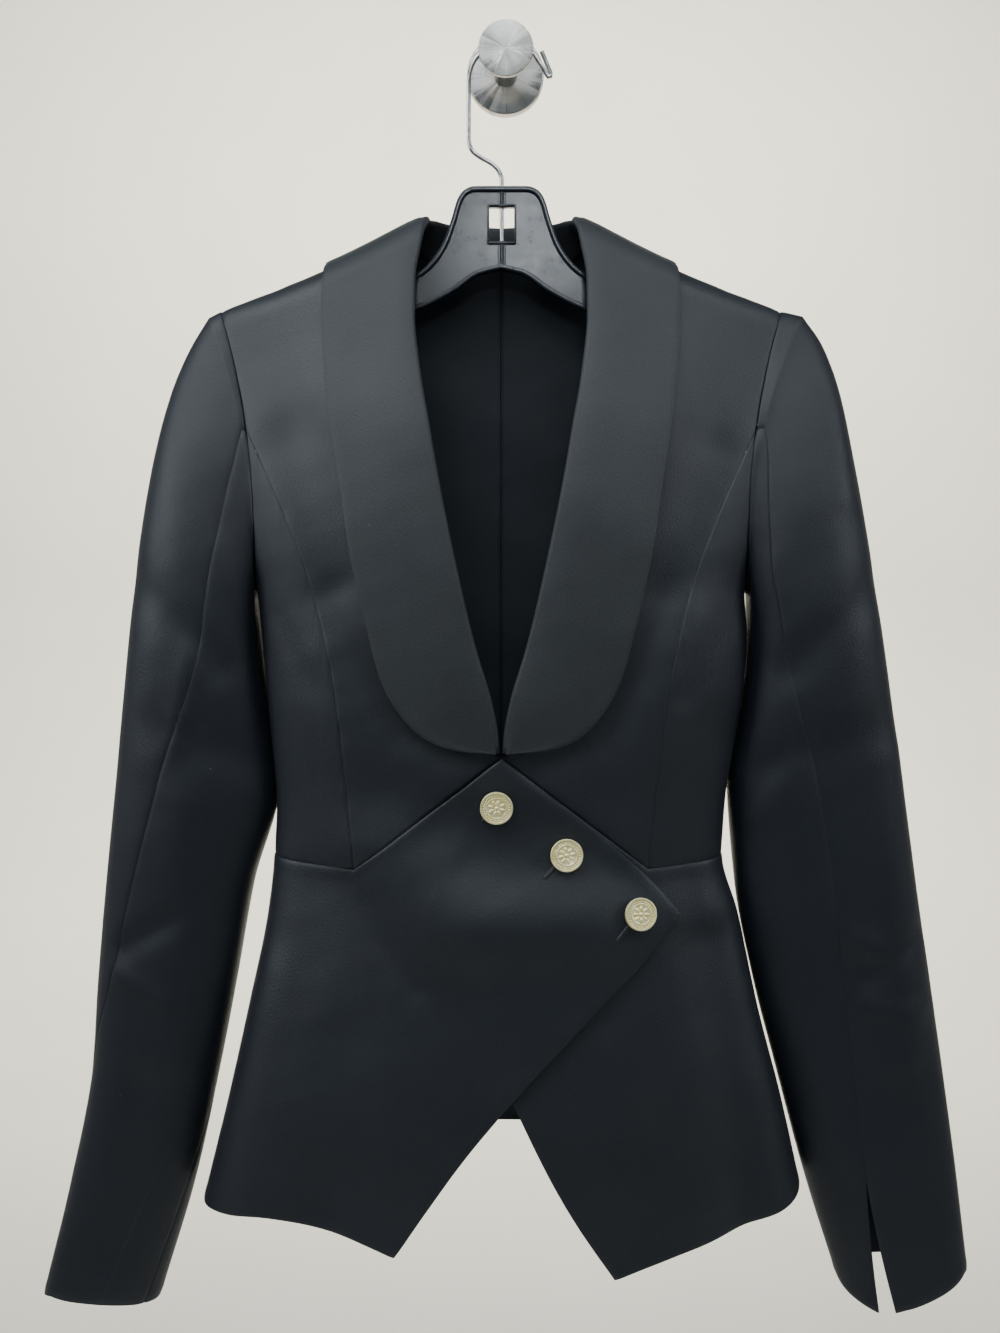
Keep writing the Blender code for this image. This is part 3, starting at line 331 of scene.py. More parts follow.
def even_shares(length, step=3.2, start=EDGE_STEPS, end=EDGE_STEPS, corners=()):
    inner_from, inner_to = start[-1] + EDGE_CLEAR, length - end[-1] - EDGE_CLEAR
    count = max(3, int(round((inner_to - inner_from) / step)))
    inner = np.linspace(inner_from, inner_to, count)
    for corner in corners:
        inner[np.argmin(np.abs(inner - corner * length))] = corner * length
    return np.concatenate([start, np.sort(inner), (length - end)[::-1]]) / length


def patch(top, bottom, first, last, across, down):
    top, bottom = at_shares(top, across), at_shares(bottom, across)
    first, last = at_shares(first, down), at_shares(last, down)
    u, v = across[None, :, None], down[:, None, None]
    grid = (1 - v) * top[None] + v * bottom[None] + (1 - u) * first[:, None] + u * last[:, None]
    grid = grid - (1 - v) * ((1 - u) * top[0] + u * top[-1]) - v * ((1 - u) * bottom[0] + u * bottom[-1])
    angle, z = grid[..., 0], grid[..., 1]
    return np.sin(angle) * side_half(angle, z), z


def joined(*lines):
    return np.concatenate([lines[0]] + [line[1:] for line in lines[1:]])


print("points in 300 mm:", len(even_shares(300.0)))

# %% [markdown]
# ## From points to cloth
# Each panel starts as a flat grid, like a piece of cloth on the table, and its points are moved to where
# it hangs. A Solidify modifier then gives it the thickness of cloth and lining, and a small bevel turns
# its edges. The far side takes the lining's material.


# %% Helpers for every piece
SMOOTH_UNDER = math.radians(48)


def world(points):
    points = np.asarray(points, float)
    x, depth, z = points[..., 0] + GARMENT_MID, points[..., 1], points[..., 2]
    return np.stack([x, -depth, z], axis=-1) * MM


def lengths(grid, axis):
    steps = np.linalg.norm(np.diff(grid, axis=axis), axis=-1)
    pad = [(0, 0), (0, 0)]
    pad[axis] = (1, 0)
    return np.pad(np.cumsum(steps, axis=axis), pad)


def apply_all(piece):
    bpy.context.view_layer.objects.active = piece
    for name in [modifier.name for modifier in piece.modifiers]:
        bpy.ops.object.modifier_apply(modifier=name)


def only(*pieces):
    bpy.ops.object.select_all(action="DESELECT")
    for piece in pieces:
        piece.select_set(True)
    bpy.context.view_layer.objects.active = pieces[0]


def edit_all():
    bpy.ops.object.mode_set(mode="EDIT")
    bpy.ops.mesh.select_all(action="SELECT")


def soften(piece, width, degrees):
    bevel = piece.modifiers.new("soft edges", "BEVEL")
    bevel.limit_method = "ANGLE"
    bevel.angle_limit = math.radians(degrees)
    bevel.width = width * MM
    bevel.segments = 2


def wear_only(piece, material):
    piece.data.materials.clear()
    piece.data.materials.append(material)


def tell(what, *pieces):
    print(what, "faces:", [len(piece.data.polygons) for piece in pieces])


def finish_piece(piece, slot, *nodes):
    only(piece)
    bpy.ops.object.shade_smooth_by_angle(angle=SMOOTH_UNDER)
    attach(piece, "root")
    if nodes:
        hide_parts(*nodes)
    piece.select_set(False)


print("pieces are smooth under:", round(math.degrees(SMOOTH_UNDER)), "degrees")

# %% [markdown]
# The grid is moved row by row to the panel's points. Its UV map is the distance along the cloth, so that the
# weave runs straight on each panel.


# %% Making one cloth piece
TURNED_EDGE, TURNED_DEGREES = 0.7, 62


def cloth_from(name, grid, outward, materials, thickness=CLOTH, edge=TURNED_EDGE):
    rows, columns = grid.shape[:2]
    bpy.ops.mesh.primitive_grid_add(x_subdivisions=columns - 1, y_subdivisions=rows - 1, size=2)
    piece = bpy.context.object
    piece.name = piece.data.name = name
    mesh = piece.data
    flat_co = np.empty(len(mesh.vertices) * 3)
    mesh.vertices.foreach_get("co", flat_co)
    flat_co = flat_co.reshape(-1, 3)
    column = np.rint((flat_co[:, 0] + 1) / 2 * (columns - 1)).astype(int)
    row = np.rint((1 - flat_co[:, 1]) / 2 * (rows - 1)).astype(int)
    mesh.vertices.foreach_set("co", world(grid)[row, column].ravel())
    across, down = lengths(grid, 1) * MM, lengths(grid, 0) * MM
    corner = np.empty(len(mesh.loops), dtype=int)
    mesh.loops.foreach_get("vertex_index", corner)
    uv = np.stack([across[row, column], -down[row, column]], axis=-1)[corner]
    mesh.uv_layers[0].data.foreach_set("uv", uv.ravel())
    for material in materials:
        mesh.materials.append(material)
    mesh.update()
    middle = mesh.polygons[len(mesh.polygons) // 2]
    facing = outward[row, column][list(middle.vertices)].mean(axis=0) * (1, -1, 1)
    if middle.normal.dot(Vector(facing)) < 0:
        edit_all()
        bpy.ops.mesh.flip_normals()
        bpy.ops.object.mode_set(mode="OBJECT")
    solid = piece.modifiers.new("cloth", "SOLIDIFY")
    solid.thickness = thickness * MM
    solid.offset = -1
    solid.use_even_offset = False
    solid.use_quality_normals = True
    solid.material_offset = len(materials) - 1
    soften(piece, edge, TURNED_DEGREES)
    apply_all(piece)
    return piece


print("cloth thickness:", CLOTH, "mm")

# %% [markdown]
# Where two panels are sewn together the cloth dips into the seam and puckers a little beside it. A free
# edge is folded back on itself, so it only rounds off. Both are worked out from each point's distance
# to the panel's sides.


# %% Seams and folded edges
SEAM_DEPTH, SEAM_WIDTH, PUCKER_DEPTH, PUCKER_WIDTH = 0.45, 1.0, 0.3, 6.0
FOLD_DROP, FOLD_WIDTH, SWELL, SWELL_AT, SWELL_WIDTH = 0.35, 1.0, 0.22, 4.5, 3.2


def bell(distance, width):
    return np.exp(-((distance / width) ** 2))


def side_distances(grid):
    across, down = lengths(grid, 1), lengths(grid, 0)
    return {
        "first": across,
        "last": across[:, -1:] - across,
        "top": down,
        "bottom": down[-1:, :] - down,
    }


def seam_dip(distance, along):
    pucker = 0.5 + 0.3 * np.sin(0.31 * along + 0.7) + 0.3 * np.sin(0.173 * along + 2.0)
    return -SEAM_DEPTH * bell(distance, SEAM_WIDTH) - PUCKER_DEPTH * pucker * bell(distance, PUCKER_WIDTH)


def folded_edge(distance):
    return -FOLD_DROP * bell(distance, FOLD_WIDTH) + SWELL * bell(distance - SWELL_AT, SWELL_WIDTH)


def edge_relief(grid, edges):
    distance = side_distances(grid)
    total = np.zeros(grid.shape[:2])
    for side, kind in edges.items():
        along = distance["top"] if side in ("first", "last") else distance["first"]
        total += seam_dip(distance[side], along) if kind == "seam" else folded_edge(distance[side])
    return total


def pulled_in(grid, edges):
    grid = grid.copy()
    turned = grid.transpose(1, 0, 2)
    views = {"top": grid, "bottom": grid[::-1], "first": turned, "last": turned[::-1]}
    for side, kind in edges.items():
        if kind != "seam":
            continue
        lines = views[side]
        inward = lines[1] - lines[0]
        inward /= np.linalg.norm(inward, axis=1, keepdims=True)
        lines[0] += SEAM_HALF_GAP * inward
    return grid


SEWN = {"top": "seam", "bottom": "seam", "first": "seam", "last": "seam"}
print("half gap at a seam:", SEAM_HALF_GAP, "mm")

# %% [markdown]
# ## Materials
# The suiting is nearly black and a little shiny, so it shows mostly by the light that grazes it. A fine
# weave, soft cloudiness and a few specks of lint keep it from looking like plastic. The weave runs on
# each panel's own UV map, which is in metres along the cloth.


# %% Material helpers
NOISE, WAVE, MATH, MIX = "ShaderNodeTexNoise", "ShaderNodeTexWave", "ShaderNodeMath", "ShaderNodeMix"


def new_material(name):
    material = bpy.data.materials.new(name)
    material.use_nodes = True
    return material, material.node_tree, material.node_tree.nodes["Principled BSDF"]


def feed(tree, node, values):
    for key, value in values.items():
        if isinstance(value, bpy.types.NodeSocket):
            tree.links.new(value, node.inputs[key])
        else:
            node.inputs[key].default_value = value


def add_node(tree, kind, *numbered, **named):
    node = tree.nodes.new(kind)
    for key in [key for key in named if hasattr(node, key)]:
        setattr(node, key, named.pop(key))
    feed(tree, node, {**dict(enumerate(numbered)), **named})
    return node


def scaled(tree, source, scale):
    return add_node(tree, "ShaderNodeMapping", Vector=source, Scale=scale).outputs["Vector"]


def ramp(tree, source, stops):
    node = add_node(tree, "ShaderNodeValToRGB", Fac=source)
    for element, (place, colour) in zip(node.color_ramp.elements, stops):
        element.position = place
        element.color = (*colour, 1)
    return node.outputs["Color"]


def bumped(tree, height, strength, distance, **under):
    node = add_node(tree, "ShaderNodeBump", Height=height, Strength=strength, Distance=distance, **under)
    return node.outputs["Normal"]


def grey(value):
    return (value, value, value)


def patterned_material(name, texture, pattern, tones, constants, polish=None, bump=None):
    material, tree, shader = new_material(name)
    place = tree.nodes.new("ShaderNodeTexCoord").outputs["Object"]
    marks = add_node(tree, texture, Vector=place, **pattern).outputs["Fac"]
    feed(tree, shader, {"Base Color": ramp(tree, marks, tones), **constants})
    if polish:
        feed(tree, shader, {"Roughness": ramp(tree, marks, polish)})
    if bump:
        feed(tree, shader, {"Normal": bumped(tree, marks, *bump)})
    return material


print("patterns in use:", NOISE, WAVE)

# %% [markdown]
# One recipe makes the suiting of the body, the sleeves and the collar, and the lining: only the colours, the
# gloss and the strength of the weave differ. Body and sleeves are one cloth in two copies. The body's copy is
# lighter, which paints light on it, and the sleeves' copy is darker, which paints shade on them.


# %% Suiting, collar and lining
THREADS_A_METRE, TWILL_A_METRE, TWILL_SHARE = (1200, 640, 1), (190, 190, 1), 0.06
LINT_COLOUR, SHEEN_TINT = (0.22, 0.22, 0.22, 1), (0.62, 0.66, 0.74, 1)
COLOUR_A, COLOUR_B, COLOUR_OUT = 6, 7, 2


def cloth_material(name, dark, light, roughness, gloss, sheen, weave, lint):
    material, tree, shader = new_material(name)
    coordinates = tree.nodes.new("ShaderNodeTexCoord")
    place, cloth = coordinates.outputs["Object"], coordinates.outputs["UV"]
    clouds = add_node(tree, NOISE, Vector=place, Scale=16.0, Detail=3.0).outputs["Fac"]
    along = scaled(tree, cloth, THREADS_A_METRE)
    threads = add_node(tree, NOISE, Vector=along, Scale=1.0, Detail=2.0).outputs["Fac"]
    grain = add_node(tree, MIX, Factor=0.6, A=clouds, B=threads)
    base = ramp(tree, grain.outputs["Result"], ((0.36, dark), (0.64, light)))
    slant = scaled(tree, cloth, TWILL_A_METRE)
    twill = add_node(tree, WAVE, Vector=slant, bands_direction="DIAGONAL")
    feed(tree, twill, {"Scale": 1.0, "Distortion": 1.4, "Detail": 1.0})
    specks = add_node(tree, "ShaderNodeTexVoronoi", Vector=place, Scale=70.0, Randomness=1.0)
    speck = ramp(tree, specks.outputs["Distance"], ((0.018, grey(1)), (0.035, grey(0))))
    few = add_node(tree, NOISE, Vector=place, Scale=24.0)
    rare = ramp(tree, few.outputs["Fac"], ((0.62, grey(0)), (0.66, grey(1))))
    dotted = add_node(tree, MATH, speck, rare, operation="MULTIPLY")
    amount = add_node(tree, MATH, dotted.outputs[0], lint, operation="MULTIPLY")
    mixed = add_node(tree, MIX, data_type="RGBA", Factor=amount.outputs[0])
    feed(tree, mixed, {COLOUR_A: base, COLOUR_B: LINT_COLOUR})
    ribs = bumped(tree, twill.outputs["Fac"], weave * TWILL_SHARE, 0.0002)
    feed(tree, shader, {
        "Base Color": mixed.outputs[COLOUR_OUT],
        "Normal": bumped(tree, threads, weave, 0.0003, Normal=ribs),
        "Roughness": roughness,
        "Specular IOR Level": gloss,
        "Sheen Weight": sheen,
        "Sheen Roughness": 0.45,
        "Sheen Tint": SHEEN_TINT,
    })
    return material


# The body's copy of the suiting is lighter than the sleeves' copy: painted light on the body.
suiting = cloth_material(
    "suiting", dark=(0.0036, 0.0056, 0.0092), light=(0.0098, 0.0126, 0.0170),
    roughness=0.5, gloss=0.52, sheen=0.02, weave=0.8, lint=0.5,
)
# The sleeves' copy of the same suiting is darker: painted shade on the sleeves.
shaded_sleeve_cloth = cloth_material(
    "sleeve suiting with painted shade", dark=(0.0019, 0.0036, 0.0072), light=(0.0048, 0.0075, 0.0126),
    roughness=0.53, gloss=0.5, sheen=0.02, weave=0.8, lint=0.5,
)
collar_cloth = cloth_material(
    "collar suiting", dark=(0.0094, 0.0116, 0.0144), light=(0.0200, 0.0228, 0.0262),
    roughness=0.6, gloss=0.5, sheen=0.05, weave=0.9, lint=0.5,
)
lining = cloth_material(
    "lining", dark=(0.0125, 0.0155, 0.0200), light=(0.0180, 0.0215, 0.0270),
    roughness=0.55, gloss=0.3, sheen=0.0, weave=0.12, lint=0.15,
)
print("cloth materials:", suiting.name, shaded_sleeve_cloth.name, collar_cloth.name, lining.name)

# %% [markdown]
# ## The seam lines
# Every seam is written once and used by both panels that meet there: the armhole, the princess seam that
# shapes the bust, the two diagonals below the lapels, the waist and the line where the lapel rolls over.


# %% Seam lines
def armhole_line(turn, scoop):
    mid_x, half_x = (SHOULDER_HALF + ARMPIT_HALF) / 2, (SHOULDER_HALF - ARMPIT_HALF) / 2
    tip_z = float(shoulder_z(SHOULDER_HALF, FRONT))
    mid_z, half_z = (tip_z + ARMPIT_Z) / 2, (tip_z - ARMPIT_Z) / 2
    return mid_x + half_x * np.cos(turn) - scoop * np.sin(turn) ** 2, mid_z + half_z * np.cos(turn)


def armhole_turns(drops, scoop):
    turns = np.linspace(0, np.pi, 721)
    x, z = armhole_line(turns, scoop)
    return np.interp(drops, shoulder_z(x, FRONT) - z, turns)


def widening_steps(reach, count):
    return reach * (np.arange(count + 1) / count) ** 2


RIDGE_STEPS, BACK_STEPS = widening_steps(17, 10), widening_steps(45, 12)
FRONT_DROPS = np.concatenate([RIDGE_STEPS, np.linspace(20, PRINCESS_DROP, 22)])
BACK_DROPS = np.concatenate([BACK_STEPS, np.linspace(49, 140, 26)])
FRONT_TURNS = armhole_turns(FRONT_DROPS, SCOOP_FRONT)
UNDER_TURNS = np.linspace(FRONT_TURNS[-1], np.pi, 40)
LAST_TURNS = np.linspace(np.pi - 0.3, np.pi, 14)
BACK_TURNS = np.unique(np.concatenate([armhole_turns(BACK_DROPS, SCOOP_BACK), LAST_TURNS]))


def armhole_flat(side, turns, scoop):
    x, z = armhole_line(turns, scoop)
    line = flat(side * x, z)
    line[turns == np.pi, 0] = side * np.pi / 2
    return line


PrincessRow = namedtuple("PrincessRow", "z half")
PRINCESS = rows_of(
    PrincessRow,
    (-287, 134),
    (-320, 121),
    (-351, 112),
    (-387, 104.5),
    (-425, 100),
    (-470, 96),
    (-508, 93),
)


def princess_flat(side):
    top_x, top_z = armhole_line(FRONT_TURNS[-1], SCOOP_FRONT)
    rows = (PrincessRow(float(top_z), float(top_x)),) + PRINCESS
    half = curve_through([row.z for row in rows], [row.half for row in rows])
    z = np.linspace(top_z, CORNER_Z, 90)
    return flat(side * half(z), z)


def side_flat(side, top_z, foot_z):
    z = np.linspace(top_z, foot_z, 80)
    return np.stack([np.full_like(z, side * np.pi / 2), z], axis=-1)


def shoulder_flat(side):
    half = np.linspace(NECK_HALF + ROLL_INSET, SHOULDER_HALF, 60)
    return flat(side * half, shoulder_z(half, FRONT))


def diagonal_flat(side):
    share = np.linspace(0, 1, 60)
    return flat(side * CORNER_X * share, APEX_Z + (CORNER_Z - APEX_Z) * share)


def waist_side_flat(side):
    start = flat(side * CORNER_X, CORNER_Z)[0]
    share = np.linspace(0, 1, 40)
    angle = start + (side * np.pi / 2 - start) * share
    return np.stack([angle, CORNER_Z + (WAIST_Z - CORNER_Z) * share], axis=-1)


def waist_back_flat(side):
    angle = side * np.linspace(0, np.pi / 2, 90)
    return np.stack([angle, np.full_like(angle, WAIST_Z)], axis=-1)


print("armhole turn at the princess seam:", round(float(FRONT_TURNS[-1]), 3))

# %% [markdown]
# The shawl collar is one table from the centre back to its tip: where its roll lies and where its outer
# edge lies, beside the middle and below the shoulder line. A drop below 0 is behind the shoulder.

# %% Collar table
CollarRow = namedtuple("CollarRow", "roll_half roll_drop edge_half edge_drop")
COLLAR = rows_of(
    CollarRow,
    (0.3, -53.0, 0.3, -98.0),
    (6.7, -45.0, 20.0, -75.0),
    (21.0, -27.8, 55.0, -42.0),
    (33.2, -13.2, 85.0, -24.5),
    (41.3, -3.4, 104.0, -6.0),
    (45.0, 0.0, 110.0, 0.0),
    (46.0, 1.3, 110.5, 1.5),
    (47.2, 4.7, 111.0, 5.0),
    (48.4, 10.0, 111.4, 11.0),
    (49.6, 17.0, 111.6, 20.0),
    (53.0, 37.0, 110.5, 46.0),
    (53.0, 60.0, 108.0, 73.0),
    (48.5, 101.0, 104.0, 102.0),
    (43.5, 131.0, 97.5, 144.0),
    (37.0, 171.0, 91.0, 191.0),
    (26.5, 227.0, 82.0, 236.0),
    (15.7, 278.0, 73.0, 275.0),
    (6.0, 315.0, 60.0, 304.0),
    (2.4, 334.0, 45.0, 325.0),
    (1.2, 345.0, 28.0, 338.5),
    (0.8, 352.0, 9.0, 348.5),
)
ROLL_FRONT = [row for row in COLLAR if row.roll_drop >= 0]
ROLL_HALF_AT = curve_through([row.roll_drop for row in ROLL_FRONT], [row.roll_half for row in ROLL_FRONT])
ROLL_TAPER = 1.5


def roll_flat(side):
    foot_drop = float(shoulder_z(0.0, FRONT)) - APEX_Z
    drops = np.concatenate([RIDGE_STEPS, np.linspace(18, foot_drop, 120)])
    half = ROLL_HALF_AT(drops) + ROLL_INSET
    half[0] = NECK_HALF + ROLL_INSET
    half = np.minimum(half, np.maximum(0.0, (foot_drop - drops) * ROLL_TAPER))
    return flat(side * half, shoulder_z(half, FRONT) - drops)


print("collar rows:", len(COLLAR))

# %% [markdown]
# ## The bodice
# Six panels make the upper part: two centre fronts, two front side panels and two backs. Each cut is the
# size of the panel that shows, measured along the cloth, and the seams hold it in its shape.


# %% Front panels
def body_panel(name, x, z, sheet, edges, lift=0.0):
    outer, normal = body_points(x, z, sheet, lift)
    outer = pulled_in(outer, edges)
    outer = outer + edge_relief(outer, edges)[..., None] * normal
    piece = cloth_from(name + "_cloth", outer, normal, [suiting, lining])
    finish_piece(piece, "suiting", name)
    return piece


made = []
for side, word in SIDES:
    armhole = armhole_flat(side, FRONT_TURNS, SCOOP_FRONT)
    outer_side = joined(armhole, princess_flat(side))
    turn_share = length_of(armhole) / length_of(outer_side)
    down = even_shares(length_of(outer_side), start=RIDGE_STEPS, corners=(turn_share,))
    across = even_shares(length_of(shoulder_flat(side)))
    x, z = patch(shoulder_flat(side), diagonal_flat(side), roll_flat(side), outer_side, across, down)
    edges = {"top": "seam", "bottom": "seam", "last": "seam"}
    made.append(body_panel(f"front_{word}", x, z, FRONT, edges))
tell("front panels", *made)

# %% [markdown]
# The side panels are narrow and run from the armhole to the waist. Their princess seams are the strongest
# lines on the front.

# %% Side panels
made = []
for side, word in SIDES:
    under_arm = armhole_flat(side, UNDER_TURNS, SCOOP_FRONT)
    seam = side_flat(side, ARMPIT_Z, WAIST_Z)
    down = even_shares(length_of(princess_flat(side)))
    across = even_shares(length_of(under_arm), step=2.6)
    x, z = patch(under_arm, waist_side_flat(side), princess_flat(side), seam, across, down)
    made.append(body_panel(f"side_{word}", x, z, FRONT, SEWN))
tell("side panels", *made)

# %% [markdown]
# The backs meet at a seam down the middle. They don't show in the photograph, so they stay plain, with a
# few soft folds where the waist draws in.

# %% Back panels
NECK_END = NECK_HALF + ROLL_INSET


def back_neck_z(half):
    return BACK_NECK_Z + (float(shoulder_z(NECK_END, BACK)) - BACK_NECK_Z) * (half / NECK_END) ** 3


made = []
for side, word in SIDES:
    neck_x = np.linspace(0, NECK_END, 30)
    neck = flat(side * neck_x, back_neck_z(neck_x))
    top = joined(neck, shoulder_flat(side))
    armhole = armhole_flat(side, BACK_TURNS, SCOOP_BACK)
    outer_side = joined(armhole, side_flat(side, ARMPIT_Z, WAIST_Z))
    share = shares_along(outer_side)
    centre = flat(np.zeros_like(share), BACK_NECK_Z + (WAIST_Z - BACK_NECK_Z) * share)
    down = even_shares(length_of(outer_side), 4.2, start=BACK_STEPS)
    neck_share = length_of(neck) / length_of(top)
    across = even_shares(length_of(top), 4.0, corners=(neck_share,))
    x, z = patch(top, waist_back_flat(side), centre, outer_side, across, down)
    made.append(body_panel(f"back_{word}", x, z, BACK, SEWN))
tell("back panels", *made)

# %% [markdown]
# ## The peplum
# Below the waist hang two front pieces, each with a pointed flap, and one back piece. The left flap crosses
# over the right one and is buttoned there, so it is lifted clear of it by the thickness of the cloth.

# %% Peplum pieces
PeplumShape = namedtuple(
    "PeplumShape", "side flap_x flap_z flap_bow edge_bow edge_skew point_x point_z corner_z hem_arch"
)
WRAP = PeplumShape(-1, 113.0, -538.0, 8.0, 11.0, 1.3, -68.0, -755.0, -741.5, 12.8)
UNDER = PeplumShape(1, -50.0, -538.0, 0.0, -6.3, 2.2, 72.5, -770.5, -729.0, 6.0)


def peplum_grid(shape):
    side = shape.side
    share = np.linspace(0, 1, 80)
    flap_x = shape.flap_x * share
    flap_z = APEX_Z + (shape.flap_z - APEX_Z) * share + shape.flap_bow * np.sin(np.pi * share**1.5)
    waist, diagonal = waist_side_flat(side)[::-1], diagonal_flat(side)[::-1]
    top = joined(waist, diagonal, flat(flap_x, flap_z))
    first_turn = length_of(waist) / length_of(top)
    second_turn = length_of(joined(waist, diagonal)) / length_of(top)
    hem_share = np.linspace(0, 1, 160)
    side_angle = side * np.pi / 2
    point_angle = flat(shape.point_x, shape.point_z)[0]
    hem_z = shape.corner_z + (shape.point_z - shape.corner_z) * hem_share**1.3
    hem_z = hem_z + shape.hem_arch * np.sin(np.pi * hem_share**1.6)
    hem = np.stack([side_angle + (point_angle - side_angle) * hem_share, hem_z], axis=-1)
    share = np.linspace(0, 1, 120)
    edge_x = shape.flap_x + (shape.point_x - shape.flap_x) * share
    edge_z = shape.flap_z + (shape.point_z - shape.flap_z) * share
    bow = side * shape.edge_bow * np.sin(np.pi * share**shape.edge_skew) ** 1.2
    edge = flat(edge_x + bow, edge_z)
    across = even_shares(length_of(top), 3.0, corners=(first_turn, second_turn))
    down = even_shares(length_of(edge), 3.0)
    return patch(top, hem, side_flat(side, WAIST_Z, shape.corner_z), edge, across, down)


def overlap_share(x):
    return smooth_step((x - OVERLAP_FROM) / (OVERLAP_TO - OVERLAP_FROM))


flap_edges = {"top": "fold", "bottom": "fold", "first": "seam", "last": "fold"}
x, z = peplum_grid(WRAP)
lift = OVERLAP_LIFT * overlap_share(x)
wrap = body_panel("peplum_wrap", x, z, FRONT, flap_edges, lift)
x, z = peplum_grid(UNDER)
lift = OVERLAP_LIFT * (overlap_share(x) - 1)
under = body_panel("peplum_under", x, z, FRONT, flap_edges, lift)
tell("front peplum", wrap, under)

# %% [markdown]
# The back peplum hangs from the waist seam all round the back. Its hem drops from the middle to the sides.

# %% Back peplum
BACK_LENGTH = 230.0
top = joined(waist_back_flat(-1)[::-1], waist_back_flat(1))
share = np.abs(top[:, 0]) / (np.pi / 2)
corner_z = np.where(top[:, 0] < 0, WRAP.corner_z, UNDER.corner_z)
hem = np.stack([top[:, 0], HEM_BACK_Z + (corner_z - HEM_BACK_Z) * share**2], axis=-1)
across, down = even_shares(length_of(top), 3.8), even_shares(BACK_LENGTH, 4.2)
sides = side_flat(-1, WAIST_Z, WRAP.corner_z), side_flat(1, WAIST_Z, UNDER.corner_z)
x, z = patch(top, hem, *sides, across, down)
back_edges = {"top": "seam", "bottom": "fold", "first": "seam", "last": "seam"}
peplum_back = body_panel("peplum_back", x, z, BACK, back_edges)
tell("back peplum", peplum_back)

# %% [markdown]
# ## The collar
# A collar is folded, not cut, along its roll. So its cloth starts inside the neck, turns over the roll in
# a small round bend and falls outside on the front. The profile below is that turn, as a distance from
# the roll and a height over the jacket.

# %% Collar halves
ProfileRow = namedtuple("ProfileRow", "distance lift")
ROLL_ROUND, ROLL_MIDDLE = 2.4, 0.3
INSIDE = ((16.0, -3.0), (13.0, -3.0), (10.0, -3.0), (7.0, -2.9), (4.6, -2.6))
bend = []
for degrees in range(270, 85, -20):
    turn = math.radians(degrees)
    bend.append(ProfileRow(ROLL_ROUND * (1 + math.cos(turn)), ROLL_MIDDLE + ROLL_ROUND * math.sin(turn)))
PROFILE = [ProfileRow(*row) for row in INSIDE] + bend
COLLAR_FALL = curve_through((0.0, 0.06, 0.22, 0.6, 1.0), (2.5, 3.1, 3.8, 3.4, 3.1))
COLLAR_BACK_LIFT, COLLAR_SHEET, COLLAR_EDGE = 1.4, 1.2, 0.4
LEAST_WIDTH, FULL_TURN_WIDTH, TURN_LIMIT, ROLL_CLEAR = 9.0, 22, 0.9, 0.08


def collar_grid(side):
    knots = np.arange(len(COLLAR))
    stations = np.unique(np.concatenate([np.linspace(0, 9, 120), np.linspace(9, knots[-1], 132)]))
    rows = np.stack([curve_through(knots, column)(stations) for column in np.array(COLLAR).T], axis=-1)
    width = np.hypot(rows[:, 2] - rows[:, 0], rows[:, 3] - rows[:, 1])[:, None]
    width = np.maximum(width, LEAST_WIDTH)
    turn_share = np.array([row.distance for row in PROFILE])[None, :] / width
    turn_lift = np.array([row.lift for row in PROFILE])[None, :] * np.minimum(width / FULL_TURN_WIDTH, 1.0)
    start = turn_share[:, -1:]
    fall = np.concatenate([np.linspace(0.0, 1.0, 22)[1:-1], [0.985, 0.993, 1.0]])[None, :]
    fall_share = start + (1 - start) * fall
    share = np.concatenate([np.minimum(turn_share, TURN_LIMIT), fall_share], axis=1)
    fall_lift = COLLAR_FALL(fall_share)
    lift = np.concatenate([np.broadcast_to(turn_lift, turn_share.shape), fall_lift], axis=1)
    half = rows[:, 0:1] * (1 - share) + rows[:, 2:3] * share
    drop = rows[:, 1:2] * (1 - share) + rows[:, 3:4] * share
    sheet = np.where(drop < 0, BACK, FRONT)
    lift = lift + np.where(drop < 0, COLLAR_BACK_LIFT, 0.0) * (share > ROLL_CLEAR) * (lift > 0)
    return body_points(side * half, shoulder_z(half, sheet) - np.abs(drop), sheet, lift, folded=())


made = []
for side, word in SIDES:
    grid, normal = collar_grid(side)
    grid = grid + edge_relief(grid, {"last": "fold"})[..., None] * normal
    along, around = np.gradient(grid, axis=0), np.gradient(grid, axis=1)
    facing = np.cross(around, along)
    facing *= np.sign((facing[:, -8] * normal[:, -8]).sum(-1).mean())
    piece = cloth_from(f"collar_{word}_cloth", grid, facing, [collar_cloth], COLLAR_SHEET, COLLAR_EDGE)
    finish_piece(piece, "collar_suiting", f"collar_{word}")
    made.append(piece)
tell("collar halves", *made)

# %% [markdown]
# Behind the neck the collar stands on a narrow band, the stand, which is sewn to the backs.

# %% Collar stand
half = np.linspace(0, NECK_END - 6, 26)
x = np.concatenate([-half[:0:-1], half])
share = np.linspace(0, 1, 12)[:, None]
z = (ROLL_Z - ROLL_INSET) * (1 - share) + back_neck_z(np.abs(x)) * share
x = np.broadcast_to(x, z.shape)
stand = body_panel("collar_stand", x, z, BACK, {"bottom": "seam"})
tell("collar stand", stand)

# %% [markdown]
# ## The sleeves
# A tailored sleeve has two pieces, an upper and an under one. Each ring below is a section across the arm,
# from the armhole to the cuff, and the angle of the front seam travels round it as the sleeve twists.

